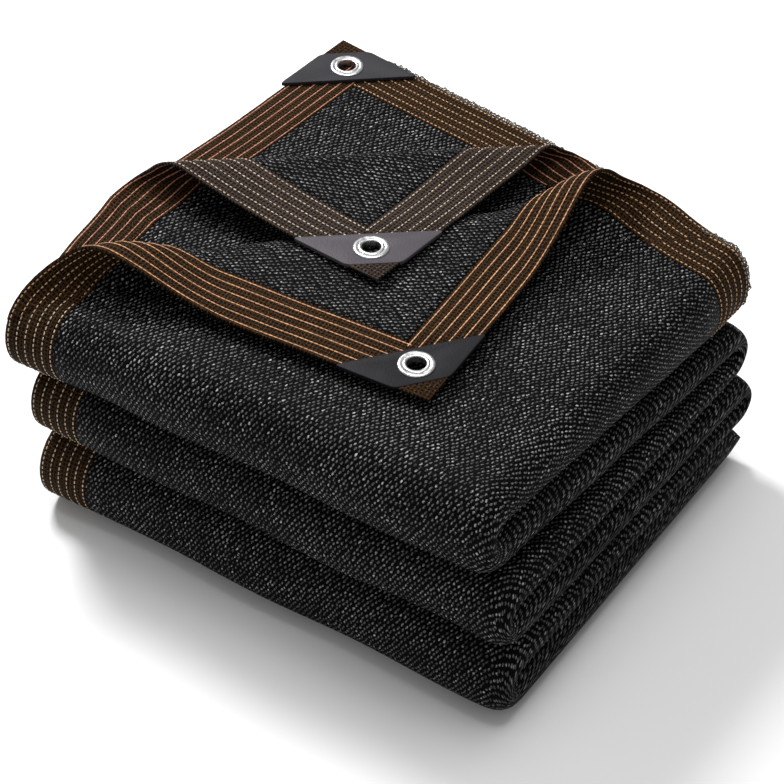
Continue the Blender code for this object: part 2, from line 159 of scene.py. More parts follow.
@dataclass(frozen=True)
class PackShape:
    """The folded pack, as the part's source lays it."""

    layers: tuple[Layer, ...] = (
        Layer(0.1380, STACK_TOP, 0.1120, STACK_TOP, -0.006, 0.331, 0.340),
        Layer(0.1070, 0.1365, 0.0920, 0.1105, -0.006, 0.332, 0.343),
        Layer(0.0820, 0.1055, 0.0730, 0.0905, 0.002, 0.343, 0.345),
        Layer(0.0570, 0.0805, 0.0530, 0.0715, 0.003, 0.344, 0.350),
        Layer(0.0290, 0.0555, 0.0340, 0.0515, 0.004, 0.345, 0.349),
        Layer(0.0000, 0.0275, 0.0000, 0.0325, 0.004, 0.344, 0.345),
    )
    front_edges: tuple[float, ...] = (-0.004, 0.000, 0.001)
    back_edges: Rows = ((0.302, 0.290), (0.304, 0.292), (0.300, 0.287))
    top_left_side: Rows = ((0.000, -0.007), (0.045, -0.005), (0.105, -0.012), (0.160, -0.005),
                           (0.206, -0.001), (0.330, 0.006))
    top_free_end: Rows = ((0.000, 0.3295), (0.157, 0.3115), (0.250, 0.2990), (0.315, 0.2850), (0.350, 0.2800))
    heights_front: float = 0.020
    heights_back: float = 0.285
    turn_least: float = 0.006
    turn_round: float = 0.62
    side_round: float = 0.017
    last_round: float = 0.016
    front_wave: float = 0.0012
    wave_length: float = 0.145
    rumple: float = 0.0011
    rumple_length: float = 0.060
    top_rumple: float = 0.35
    droop: float = 0.0085
    droop_near: float = 0.010
    droop_far: float = 0.072
    droop_width: float = 0.120

    def sag(self, x: float, y: float) -> float:
        """Return how far the top's front left corner hangs below the even pack."""
        back = read_rows(((self.droop_near, 1.0), (self.droop_far, 0.0)), max(y, self.droop_near), eased=True)
        right = read_rows(((0.0, 1.0), (self.droop_width, 0.0)), max(x, 0.0), eased=True)
        return self.droop * back * right

    def run_height(self, layer: int, y: float, ply: float) -> float:
        """Return the height of a ply in a layer's run at a place from front to back."""
        row = self.layers[layer]
        depth = clamp((y - self.heights_front) / (self.heights_back - self.heights_front))
        low = mix(row.front_low, row.back_low, depth)
        high = mix(row.front_high, row.back_high, depth)
        facing = 1.0 if layer % 2 == 0 else -1.0
        return (low + high) / 2.0 + facing * ply * (high - low) / 2.0

    def turn_size(self, upper: int, y: float, ply: float) -> tuple[float, float, float]:
        """Return middle height, half height and reach of the turn below a layer."""
        high = self.run_height(upper, y, ply)
        low = self.run_height(upper + 1, y, ply)
        half = (high - low) / 2.0
        return (high + low) / 2.0, half, self.turn_least + self.turn_round * max(half, 0.0)

    def run_front(self, layer: int) -> float:
        """Return where a layer's run starts at the front."""
        upper = layer - layer % 2
        return self.front_edges[upper // 2] + self.turn_size(upper, self.heights_front, 1.0)[2]

    def run_back(self, layer: int, across: float) -> float:
        """Return where a layer's run ends at the back, at a share of the width."""
        last = len(self.layers) - 1
        if layer == 0:
            row = self.layers[0]
            return read_rows(self.top_free_end, mix(row.left, row.right_back, across))
        if layer == last:
            return mix(*self.back_edges[-1], across) - self.last_round
        upper = layer if layer % 2 == 1 else layer - 1
        return mix(*self.back_edges[upper // 2], across) - self.turn_size(upper, self.heights_back, -1.0)[2]

    def side_places(self, layer: int, depth: float, y: float) -> tuple[float, float]:
        """Return the left and right side of a layer."""
        row = self.layers[layer]
        left = read_rows(self.top_left_side, y) if layer == 0 else row.left
        return left, mix(row.right_front, row.right_back, depth)

    def stations(self, inset: float, run_steps: int, turn_steps: int) -> list[Station]:
        """List a ply's stations from the free end down to the last fold.

        Args:
            inset: Distance from the free end to the first station.
            run_steps: Steps in each straight run.
            turn_steps: Steps round each turn.

        Returns:
            The stations in order.
        """
        found: list[Station] = []
        last = len(self.layers) - 1
        for layer in range(last + 1):
            for step in range(run_steps + 1):
                share = step / run_steps
                depth = 1.0 - share if layer % 2 == 0 else share
                found.append(Station("run", layer, depth, inset if layer == 0 else 0.0))
            if layer < last:
                found += [Station("turn", layer, step / turn_steps) for step in range(1, turn_steps)]
        end_steps = turn_steps // 2
        return found + [Station("end", last, step / end_steps) for step in range(1, end_steps + 1)]

    def path_point(self, stop: Station, across: float,
                   ply: float) -> tuple[float, float, tuple[float, float]]:
        """Return Y, Z and both sides of the layer where a ply passes a station."""
        layer = stop.layer
        if stop.kind == "run":
            y = mix(self.run_front(layer), self.run_back(layer, across) - stop.inset, stop.share)
            return y, self.run_height(layer, y, ply), self.side_places(layer, stop.share, y)
        if stop.kind == "end":
            angle = stop.share * math.pi / 2.0
            y = self.run_back(layer, across) + self.last_round * math.sin(angle)
            middle = self.run_height(layer, self.heights_back, 0.0)
            rise = self.run_height(layer, self.heights_back, ply) - middle
            return y, middle + rise * math.cos(angle), self.side_places(layer, 1.0, y)
        at_front = layer % 2 == 0
        start = self.run_front(layer) if at_front else self.run_back(layer, across)
        middle, half, reach = self.turn_size(layer, start, ply)
        angle = stop.share * math.pi
        y = start + reach * math.sin(angle) * (-1.0 if at_front else 1.0)
        depth = 0.0 if at_front else 1.0
        upper = self.side_places(layer, depth, y)
        lower = self.side_places(layer + 1, depth, y)
        sides = (mix(upper[0], lower[0], stop.share), mix(upper[1], lower[1], stop.share))
        return y, middle + half * math.cos(angle), sides

    def point(self, stop: Station, across: float, ply: float, inset: float, angle: float = 0.0) -> Vector:
        """Return the place of a ply at a station.

        Args:
            stop: The station.
            across: Share of the width, from the inset to where the closed side starts.
            ply: Place in the layer's thickness, from 1 for the outer ply to -1.
            inset: Distance from the left side to where across counts from.
            angle: Turn round the closed right side.

        Returns:
            The place in the part's frame.
        """
        y, z, (left, right) = self.path_point(stop, across, ply * math.cos(angle))
        reach = self.side_round * abs(ply)
        x = mix(left + inset, right - self.side_round, across) + reach * math.sin(angle)
        if stop.kind == "turn" and stop.layer % 2 == 0:
            y += (self.front_wave * math.sin(2.0 * math.pi * x / self.wave_length + stop.layer)
                  * math.sin(stop.share * math.pi))
        if stop.layer == 0:
            hold = 1.0 - stop.share if stop.kind == "turn" else (ply * math.cos(angle) + 1.0) / 2.0
            z -= self.sag(x, y) * hold
        spot = Vector((x, y, z))
        return spot + self.rumpled(spot, stop) - ORIGIN

    def ground(self, x: float, y: float) -> float:
        """Return the height of the pack's top at a place, also down round its front fold and right side."""
        start = self.run_front(0)
        depth = clamp((y - start) / (self.heights_back - start))
        beyond = (x - self.side_places(0, depth, y)[1] + self.side_round) / self.side_round
        beyond = clamp(beyond, ROUND_SHARE)
        if y >= start:
            top, low = self.run_height(0, y, 1.0), self.run_height(0, y, -1.0)
            return mix(low, top, (1.0 + math.sqrt(1.0 - beyond * beyond)) / 2.0) - self.sag(x, y)
        middle, half, reach = self.turn_size(0, start, 1.0)
        share = min((start - y) / reach, ROUND_SHARE)
        turned = math.sqrt(1.0 - share * share)
        return middle + half * turned - self.sag(x, y) * (1.0 - math.asin(share) / math.pi)

    def rumpled(self, spot: Vector, stop: Station) -> Vector:
        """Return how far the cloth sinks or bulges from its even fold at a spot."""
        on_top = stop.kind == "run" and stop.layer == 0
        on_floor = stop.kind != "turn" and stop.layer == len(self.layers) - 1
        if on_floor:
            return Vector()
        size = self.rumple * (self.top_rumple if on_top else 1.0)
        push = noise.noise_vector(spot / self.rumple_length) * size
        push.z = -abs(push.z) if on_top else push.z
        return push


@dataclass(frozen=True)
class FlapShape:
    """A peeled corner: its flat corner, and the straight line that it rolls back over."""

    corner: tuple[float, float]
    skew: float
    fold_start: tuple[float, float]
    fold_angle: float
    roll_left: float
    roll_right: float
    overturn: float
    rest_gap: float
    pressed: Rows
    side_length: float
    end_length: float
    ramp_left: float
    ramp_right: float
    pack: PackShape = PackShape()
    base: float = 0.0013
    ramp_span: float = 0.09
    roll_span: float = 0.30
    ramp_angle: float = math.radians(105.0)
    ramp_pull: float = 0.95
    ramp_sink: float = 0.0024
    spread_near: float = TAPE_WIDTH
    spread_far: float = 0.11
    front_drop: float = 0.020
    rumple: float = 0.0008
    rumple_length: float = 0.055
    rumple_past: float = 0.06
    rumple_corner: float = 0.14

    def flat_spot(self, u: float, w: float) -> Vector:
        """Return where a point lies before the peel, counted from the fold's start."""
        run = Vector((math.cos(self.skew), math.sin(self.skew)))
        drop = Vector((math.sin(self.skew), -math.cos(self.skew)))
        return Vector(self.corner) + run * u + drop * w - Vector(self.fold_start)

    def fold_axes(self) -> tuple[Vector, Vector]:
        """Return the direction along the fold and the one back across it."""
        fold = Vector((math.cos(self.fold_angle), math.sin(self.fold_angle)))
        return fold, Vector((-fold.y, fold.x))

    def past_fold(self, u: float, w: float) -> float:
        """Return the length of cloth between the fold and a point."""
        return self.flat_spot(u, w).dot(self.fold_axes()[1])

    def along_fold(self, u: float, w: float) -> float:
        """Return how far along the fold a point lies."""
        return self.flat_spot(u, w).dot(self.fold_axes()[0])

    def fold_spot(self, spot: Vector) -> tuple[float, float]:
        """Return how far along the fold and how far behind it a place on the pack lies."""
        fold, back = self.fold_axes()
        flat = spot.to_2d() + ORIGIN.to_2d() - Vector(self.fold_start)
        return flat.dot(fold), flat.dot(back)

    def outward(self, u: float, w: float) -> Vector:
        """Return roughly the way that the convex face looks at a point."""
        back = self.fold_axes()[1]
        angle = clamp(self.past_fold(u, w) / self.radius(u, w), math.pi)
        return Vector((*(back * math.sin(angle)), -math.cos(angle)))

    def radius(self, u: float, w: float) -> float:
        """Return the radius of the roll where a point passes over it."""
        return mix(self.roll_left, self.roll_right, clamp(self.along_fold(u, w) / self.roll_span))

    def ramp_along(self, along: float) -> float:
        """Return the ramp's length at a place along the fold."""
        return mix(self.ramp_left, self.ramp_right, clamp(along / self.ramp_span))

    def ramp(self, u: float, w: float) -> float:
        """Return how far in front of the fold the cloth starts to leave the pack."""
        return self.ramp_along(self.along_fold(u, w))

    def rise(self, past: float, radius: float, ramp: float) -> tuple[float, float]:
        """Return the advance and height of the cloth where it leaves the pack and starts to turn."""
        whole = ramp + radius * self.ramp_angle
        share = clamp((past + ramp) / whole)
        pull = whole * self.ramp_pull
        start = Vector((-ramp, -self.ramp_sink))
        end = Vector((radius * math.sin(self.ramp_angle), radius * (1.0 - math.cos(self.ramp_angle))))
        leave = Vector((pull, 0.0))
        arrive = Vector((math.cos(self.ramp_angle), math.sin(self.ramp_angle))) * pull
        square, cube = share * share, share * share * share
        spot = (start * (2.0 * cube - 3.0 * square + 1.0) + leave * (cube - 2.0 * square + share)
                + end * (3.0 * square - 2.0 * cube) + arrive * (cube - square))
        return spot.x, spot.y

    def roll(self, past: float, radius: float, ramp: float) -> tuple[float, float]:
        """Return the advance and height of the cloth at a length past the fold."""
        if past < radius * self.ramp_angle:
            return self.rise(past, radius, ramp)
        turned = radius * (math.pi + self.overturn)
        angle = min(past, turned) / radius
        advance = radius * math.sin(angle)
        height = radius * (1.0 - math.cos(angle))
        if past > turned:
            rise = radius * (1.0 + math.cos(self.overturn)) - self.rest_gap
            ease = rise / (1.0 - math.cos(self.overturn))
            slope = math.pi + self.overturn - min(past - turned, ease * self.overturn) / ease
            advance += ease * (math.sin(math.pi + self.overturn) - math.sin(slope))
            height += ease * (math.cos(slope) - math.cos(math.pi + self.overturn))
            advance -= max(0.0, past - turned - ease * self.overturn)
        return advance, height

    def settle(self, spot: Vector, u: float, w: float) -> Vector:
        """Return how far a spot moves to lie on the pack and along its edges.

        Args:
            spot: The place of the cloth, counted from the pack's corner.
            u: Distance from the side edge.
            w: Distance from the end edge.

        Returns:
            The move that brings it there.
        """
        row = self.pack.layers[0]
        fade = ((self.spread_near, 1.0), (self.spread_far, 0.0))
        spot.y = max(spot.y, self.pack.run_front(0) - self.front_drop)
        left = read_rows(self.pack.top_left_side, spot.y) + u
        end = read_rows(self.pack.top_free_end, min(max(spot.x, 0.0), row.right_back)) - w
        shift = Vector(((left - spot.x) * read_rows(fade, max(u, self.spread_near), eased=True),
                        (end - spot.y) * read_rows(fade, max(w, self.spread_near), eased=True), 0.0))
        shift.z = self.pack.ground(spot.x + shift.x, spot.y + shift.y) - STACK_TOP
        return shift

    def point(self, u: float, w: float) -> Vector:
        """Return the place of the point that lies u from the side edge and w from the end edge."""
        fold, back = self.fold_axes()
        flat = self.flat_spot(u, w)
        along, past = flat.dot(fold), flat.dot(back)
        radius = self.radius(u, w)
        advance, height = self.roll(past, radius, self.ramp(u, w))
        if past > 0.0:
            share = read_rows(self.pressed, along, eased=True)
            flattened = min(past / (math.pi * radius), 1.0)
            height = height * share + (1.0 - share) * self.rest_gap * flattened
            settled = min(past / self.rumple_past, 1.0) * min((u + w) / self.rumple_corner, 1.0)
            height += self.rumple * settled * noise.noise(Vector((u, w, self.rest_gap)) / self.rumple_length)
        flat_place = Vector(self.fold_start) + fold * along + back * advance
        spot = Vector((flat_place.x, flat_place.y, STACK_TOP + self.base + height))
        share = clamp(past / (radius * self.ramp_angle))
        spot += self.settle(spot, u, w) * (1.0 - smooth(share))
        return spot - ORIGIN


FLAPS = {
    "top": FlapShape((0.0185, 0.2954), math.radians(-2.6), (0.0284, 0.0259), math.radians(44.6),
                     0.0137, 0.0200, math.radians(15.3), 0.0045,
                     ((0.020, 1.0), (0.085, 0.26), (0.255, 0.26), (0.315, 1.0)), 0.340, 0.340,
                     0.006, 0.022),
    "middle": FlapShape((0.0085, 0.3130), math.radians(-4.25), (0.0078, 0.1145), math.radians(41.1),
                        0.0135, 0.0088, math.radians(11.5), 0.0160,
                        ((0.000, 1.0), (0.300, 1.0)), 0.300, 0.310, 0.044, 0.044),
}


@dataclass(frozen=True)
class BackCorner:
    """The flat back left corner, which tips up from its patch's long edge."""

    corner: tuple[float, float] = (0.0075, 0.3290)
    skew: float = math.radians(-5.5)
    tilt: float = math.radians(4.0)
    lift: float = 0.0015

    def point(self, u: float, w: float) -> Vector:
        """Return the place of the point that lies u from the side edge and w from the end edge."""
        run = Vector((math.cos(self.skew), math.sin(self.skew), 0.0))
        drop = Vector((math.sin(self.skew), -math.cos(self.skew), 0.0))
        beyond = max(0.0, (PATCH_LEG - u - w) / math.sqrt(2.0))
        spot = Vector((*self.corner, STACK_TOP + self.lift)) + run * u + drop * w
        spot.z += beyond * math.tan(self.tilt)
        return spot - ORIGIN


class NodeBench:
    """Short calls that place and link nodes in one tree."""

    def __init__(self, tree: Tree) -> None:
        """Keep the tree that the nodes go in."""
        self.tree = tree

    def add(self, kind: str, inputs: dict[str | int, object] | None = None,
            **settings: object) -> Node:
        """Place a node.

        Args:
            kind: The node's type name.
            inputs: Values or sockets for its inputs, by name or number.
            settings: Properties of the node.

        Returns:
            The node.
        """
        node = self.tree.nodes.new(kind)
        for name, value in settings.items():
            setattr(node, name, value)
        for name, value in (inputs or {}).items():
            self.feed(node.inputs[name], value)
        return node

    def feed(self, socket: Socket, value: object) -> None:
        """Link a socket into an input, or set its value."""
        if isinstance(value, Socket):
            self.tree.links.new(value, socket)
        else:
            socket.default_value = value

    def math(self, operation: str, first: object, second: object = 0.0,
             third: object = 0.0) -> Socket:
        """Place a math node and return its output."""
        node = self.add("ShaderNodeMath", {0: first, 1: second, 2: third}, operation=operation)
        return node.outputs[0]

    def blend(self, share: object, first: object, second: object) -> Socket:
        """Mix two colours and return the output."""
        node = self.tree.nodes.new("ShaderNodeMix")
        node.data_type = "RGBA"
        for socket, value in ((node.inputs[0], share), (node.inputs[6], first), (node.inputs[7], second)):
            self.feed(socket, value)
        return node.outputs[2]

    def ease(self, value: object, low: float, high: float) -> Socket:
        """Turn a value into a soft step between two limits."""
        node = self.add("ShaderNodeMapRange", {0: value, 1: low, 2: high}, interpolation_type="SMOOTHSTEP")
        return node.outputs[0]

    def vector(self, operation: str, first: object, second: object) -> Socket:
        """Place a vector math node and return its output."""
        return self.add("ShaderNodeVectorMath", {0: first, 1: second}, operation=operation).outputs[0]

    def noise(self, place: object, scale: object, detail: float) -> Node:
        """Place a cloud of noise."""
        return self.add("ShaderNodeTexNoise", {"Vector": place, "Scale": scale, "Detail": detail})

    def bump(self, height: Socket, distance: float, strength: float = 1.0) -> Socket:
        """Place a bump node and return its normal."""
        inputs = {"Height": height, "Distance": distance, "Strength": strength}
        return self.add("ShaderNodeBump", inputs).outputs[0]

    def cut(self) -> Socket:
        """Return the place in the cloth's flat cut."""
        return self.add("ShaderNodeUVMap", uv_map="cut").outputs[0]

    def spot(self) -> Socket:
        """Return the place in the piece."""
        return self.add("ShaderNodeTexCoord").outputs["Object"]


def new_tree(name: str, kind: str, inputs: Iterable[tuple[str, str, object]],
             outputs: Iterable[tuple[str, str]]) -> Tree:
    """Make an empty node tree with named sockets.

    Args:
        name: The tree's name.
        kind: The tree's type name.
        inputs: Name, kind and first value, or None, of each input.
        outputs: Name and kind of each output.

    Returns:
        The tree.
    """
    tree = bpy.data.node_groups.new(name, kind)
    for title, sort, value in inputs:
        socket = tree.interface.new_socket(title, in_out="INPUT", socket_type=f"NodeSocket{sort}")
        if value is not None:
            socket.default_value = value
    for title, sort in outputs:
        tree.interface.new_socket(title, in_out="OUTPUT", socket_type=f"NodeSocket{sort}")
    return tree


@dataclass(frozen=True)
class Group:
    """A shader node group that several finishes share."""

    name: str
    inputs: tuple[tuple[str, str, object], ...]
    outputs: tuple[tuple[str, str], ...]
    build: Callable[[NodeBench, object], dict[str, Socket]]

    def tree(self) -> Tree:
        """Return the group's tree, made once."""
        if self.name in bpy.data.node_groups:
            return bpy.data.node_groups[self.name]
        tree = new_tree(self.name, "ShaderNodeTree", self.inputs, self.outputs)
        bench = NodeBench(tree)
        bench.add("NodeGroupOutput", self.build(bench, bench.add("NodeGroupInput").outputs))
        return tree

    def place(self, bench: NodeBench, inputs: dict[str, object]) -> Node:
        """Place the group in a material's tree with its own values."""
        node = bench.tree.nodes.new("ShaderNodeGroup")
        node.node_tree = self.tree()
        for name, value in inputs.items():
            bench.feed(node.inputs[name], value)
        return node


def knit_leg(bench: NodeBench, get: object, row: Socket, spot: tuple[object, object],
             slant: float) -> Socket:
    """Shape one slanted leg of yarn in each stitch of a course.

    Args:
        bench: The group's bench.
        get: The group's inputs.
        row: The course's number.
        spot: Place in the stitch, across and along, from minus one half to one half.
        slant: Lean of the leg on even courses; it leans less on odd ones.

    Returns:
        Height of the leg, from 0 to 1.
    """
    lean = bench.math("MULTIPLY_ADD", bench.math("PINGPONG", row, 1.0), -0.15 * slant, slant)
    across = bench.math("MULTIPLY", spot[0], get["Loop Width"])
    along = bench.math("MULTIPLY", spot[1], get["Loop Height"])
    sine, cosine = bench.math("SINE", lean), bench.math("COSINE", lean)
    down = bench.math("MULTIPLY_ADD", across, sine, bench.math("MULTIPLY", along, cosine))
    over = bench.math("SUBTRACT", bench.math("MULTIPLY", across, cosine), bench.math("MULTIPLY", along, sine))
    first = bench.math("DIVIDE", down, bench.math("MULTIPLY", get["Loop Height"], LEG_LENGTH))
    second = bench.math("DIVIDE", over, bench.math("MULTIPLY", get["Loop Width"], LEG_WIDTH))
    reach = bench.math("MULTIPLY_ADD", first, first, bench.math("MULTIPLY", second, second))
    return bench.math("SUBTRACT", 1.0, bench.ease(reach, 0.15, 1.0))


def build_knit(bench: NodeBench, get: object) -> dict[str, Socket]:
    """Lay out staggered courses of leaning stitches over a second, lower set of legs.

    Args:
        bench: The group's bench.
        get: The group's inputs.

    Returns:
        Height, painted crest highlight and painted glint of the stitches.
    """
    wobble = bench.noise(get["Vector"], 330.0, 1.0).outputs["Color"]
    centred = {0: bench.vector("SUBTRACT", wobble, (0.5, 0.5, 0.5)), "Scale": get["Wobble"]}
    pushed = bench.add("ShaderNodeVectorMath", centred, operation="SCALE").outputs[0]
    moved = bench.vector("ADD", get["Vector"], pushed)
    parts = bench.add("ShaderNodeSeparateXYZ", {0: moved})
    course = bench.math("DIVIDE", parts.outputs[1], get["Loop Height"])
    row = bench.math("FLOOR", course)
    shift = bench.math("MULTIPLY", bench.math("PINGPONG", row, 1.0), COURSE_SHIFT)
    wale = bench.math("ADD", bench.math("DIVIDE", parts.outputs[0], get["Loop Width"]), shift)
    cell = bench.add("ShaderNodeCombineXYZ", {0: bench.math("FLOOR", wale), 1: row})
    dice = bench.add("ShaderNodeTexWhiteNoise", {"Vector": cell.outputs[0]}, noise_dimensions="2D")
    stray = bench.add("ShaderNodeSeparateXYZ", {0: dice.outputs["Color"]})
    near = (1.0 - LEG_STRAY) / 2.0
    across, along = (
        bench.math("SUBTRACT", bench.math("FRACT", place), bench.math("MULTIPLY_ADD", draw, LEG_STRAY, near))
        for place, draw in ((wale, stray.outputs[0]), (course, stray.outputs[1])))
    upper = knit_leg(bench, get, row, (across, along), LEG_SLANT)
    beside = bench.math("SUBTRACT", bench.math("FRACT", bench.math("ADD", wale, 0.5)), 0.5)
    lower = bench.math("MULTIPLY", knit_leg(bench, get, row, (beside, along), -LEG_SLANT), LOWER_LEG)
    height = bench.math("MAXIMUM", upper, lower)
    fleck = bench.noise(get["Vector"], 760.0, 2.0).outputs["Fac"]
    uneven = bench.math("MULTIPLY_ADD", bench.ease(fleck, 0.36, 0.66), 0.8, 0.2)
    chance = dice.outputs["Value"]
    # How lit each leg looks: a painted highlight on the leg's crest, varied at random per loop; the spark
    # below is a painted glint.
    lit = bench.math("MULTIPLY", bench.ease(height, 0.12, 0.85), uneven)
    shade = bench.math("MULTIPLY", lit, bench.math("MULTIPLY_ADD", chance, 0.55, 0.45))
    spark = bench.ease(bench.math("MULTIPLY", chance, fleck), 0.39, 0.62)
    glint = bench.math("MULTIPLY", spark, bench.ease(upper, 0.3, 1.0))
    return {"Height": height, "Shade": shade, "Glint": glint}


def build_tape(bench: NodeBench, get: object) -> dict[str, Socket]:
    """Lay out the fine square mesh of the edge tape, with flecks of lighter yarn.

    Args:
        bench: The group's bench.
        get: The group's inputs.

    Returns:
        Height of the mesh and share of lighter yarn.
    """
    parts = bench.add("ShaderNodeSeparateXYZ", {0: get["Vector"]})
    waves = []
    for index in range(2):
        turn = bench.math("MULTIPLY", bench.math("DIVIDE", parts.outputs[index], get["Pitch"]), 2.0 * math.pi)
        waves.append(bench.math("MULTIPLY_ADD", bench.math("SINE", turn), 0.5, 0.5))
    height = bench.math("MAXIMUM", *waves)
    speck = bench.noise(get["Vector"], 900.0, 2.0).outputs["Fac"]
    return {"Height": height, "Fleck": bench.math("MULTIPLY", bench.ease(speck, 0.5, 0.72), height)}


def build_wear(bench: NodeBench, get: object) -> dict[str, Socket]:
    """Make a soft cloudy mask of handling and dust, around one half."""
    return {"Mask": bench.ease(bench.noise(get["Vector"], get["Scale"], 4.0).outputs["Fac"], 0.3, 0.7)}


KNIT = Group("knit_loops", (("Vector", "Vector", None), ("Loop Width", "Float", 0.0033),
                            ("Loop Height", "Float", 0.0026), ("Wobble", "Float", 0.0012)),
             (("Height", "Float"), ("Shade", "Float"), ("Glint", "Float")), build_knit)
TAPE = Group("tape_mesh", (("Vector", "Vector", None), ("Pitch", "Float", 0.0026)),
             (("Height", "Float"), ("Fleck", "Float")), build_tape)
WEAR = Group("soft_wear", (("Vector", "Vector", None), ("Scale", "Float", 18.0)),
             (("Mask", "Float"),), build_wear)


@dataclass(frozen=True)
class Finish:
    """What every finish has: a name, a colour, and a shader that its own nodes feed."""

    name: str
    colour: Colour
    roughness: float

    def material(self) -> bpy.types.Material:
        """Return the finish's material, made once."""
        if self.name in bpy.data.materials:
            return bpy.data.materials[self.name]
        made = bpy.data.materials.new(self.name)
        made.use_nodes = True
        made.diffuse_color = self.colour
        bench = NodeBench(made.node_tree)
        shader = made.node_tree.nodes["Principled BSDF"]
        shader.inputs["Base Color"].default_value = self.colour
        shader.inputs["Roughness"].default_value = self.roughness
        self.dress(bench, shader)
        return made

    def dress(self, bench: NodeBench, shader: Node) -> None:
        """Add the finish's own nodes."""


@dataclass(frozen=True)
class KnitFinish(Finish):
    """Black knitted yarn with painted grey highlights and painted glints on its loops."""

    # light is the colour of the painted highlight on the loop legs, glint that of the painted glints.
    light: Colour = (0.250, 0.250, 0.257, 1.0)
    glint: Colour = (0.40, 0.40, 0.42, 1.0)
    relief: float = 0.0009

    def dress(self, bench: NodeBench, shader: Node) -> None:
        """Add loops, their painted highlights and glints, and a soft unevenness."""
        knit = KNIT.place(bench, {"Vector": bench.cut()})
        wear = WEAR.place(bench, {"Vector": bench.cut(), "Scale": 14.0})
        cloudy = bench.math("MULTIPLY_ADD", wear.outputs[0], 0.5, 0.6)
        # Base colour: painted grey highlights on the loop legs, then painted glints, over the black yarn.
        shade = bench.math("MULTIPLY", knit.outputs["Shade"], cloudy)
        yarn = bench.blend(shade, self.colour, self.light)
        bench.feed(shader.inputs["Base Color"], bench.blend(knit.outputs["Glint"], yarn, self.glint))
        gloss = bench.math("MULTIPLY_ADD", knit.outputs["Glint"], -0.25, self.roughness)
        bench.feed(shader.inputs["Roughness"], gloss)
        bench.feed(shader.inputs["Normal"], bench.bump(knit.outputs["Height"], self.relief))
        shader.inputs["IOR"].default_value = 1.10


@dataclass(frozen=True)
class TapeFinish(Finish):
    """Dark woven edge tape with lighter flecks."""

    fleck: Colour = (0.16, 0.13, 0.06, 1.0)
    relief: float = 0.0004
    gap_tone: float = 0.12

    def dress(self, bench: NodeBench, shader: Node) -> None:
        """Add the fine mesh, flecks and a cloudy tone."""
        mesh = TAPE.place(bench, {"Vector": bench.cut()})
        wear = WEAR.place(bench, {"Vector": bench.cut(), "Scale": 26.0})
        dark = toned(self.colour, self.gap_tone)
        ground = bench.blend(bench.ease(mesh.outputs["Height"], 0.55, 1.0), dark, self.colour)
        cloudy = bench.blend(bench.math("MULTIPLY", wear.outputs[0], 0.5), ground, dark)
        bench.feed(shader.inputs["Base Color"], bench.blend(mesh.outputs["Fleck"], cloudy, self.fleck))
        bench.feed(shader.inputs["Normal"], bench.bump(mesh.outputs["Height"], self.relief))
        shader.inputs["IOR"].default_value = 1.12


@dataclass(frozen=True)
class ThreadFinish(Finish):
    """Sewing thread with a twisted, slightly uneven tone."""

    def dress(self, bench: NodeBench, shader: Node) -> None:
        """Add the tone."""
        tone = WEAR.place(bench, {"Vector": bench.spot(), "Scale": 160.0})
        shade = bench.blend(tone.outputs[0], toned(self.colour, 0.55), self.colour)
        bench.feed(shader.inputs["Base Color"], shade)
        shader.inputs["Sheen Weight"].default_value = 0.3


@dataclass(frozen=True)
class PatchFinish(Finish):
    """Coated patch with a faint grain and a soft sheen."""

    relief: float = 0.00025

    def dress(self, bench: NodeBench, shader: Node) -> None:
        """Add grain and handling marks."""
        grain = bench.add("ShaderNodeTexVoronoi", {"Vector": bench.spot(), "Scale": 900.0})
        wear = WEAR.place(bench, {"Vector": bench.spot(), "Scale": 30.0})
        pale = toned(self.colour, 1.35)
        bench.feed(shader.inputs["Base Color"], bench.blend(wear.outputs[0], self.colour, pale))
        rough = bench.math("MULTIPLY_ADD", wear.outputs[0], -0.12, self.roughness)
        bench.feed(shader.inputs["Roughness"], rough)
        bench.feed(shader.inputs["Normal"], bench.bump(grain.outputs["Distance"], self.relief, 0.35))
        shader.inputs["Specular IOR Level"].default_value = 0.12


@dataclass(frozen=True)
class EyeletFinish(Finish):
    """Bright pressed metal, faintly scuffed."""

    def dress(self, bench: NodeBench, shader: Node) -> None:
        """Add scuffs to the gloss."""
        scuff = WEAR.place(bench, {"Vector": bench.spot(), "Scale": 420.0})
        rough = bench.math("MULTIPLY_ADD", scuff.outputs[0], 0.14, self.roughness)
        bench.feed(shader.inputs["Roughness"], rough)
        shader.inputs["Metallic"].default_value = 1.0


BLACK_KNIT = KnitFinish("black_knit", (0.0012, 0.0012, 0.0014, 1.0), 0.62)
BROWN_TAPE = TapeFinish("brown_tape", (0.033, 0.0150, 0.0062, 1.0), 0.78, fleck=(0.080, 0.052, 0.020, 1.0))
GREY_TAPE = TapeFinish("grey_tape", (0.046, 0.032, 0.026, 1.0), 0.78, fleck=(0.095, 0.074, 0.058, 1.0))
FLOOR = Finish("pale_floor", (0.80, 0.80, 0.80, 1.0), 0.8)
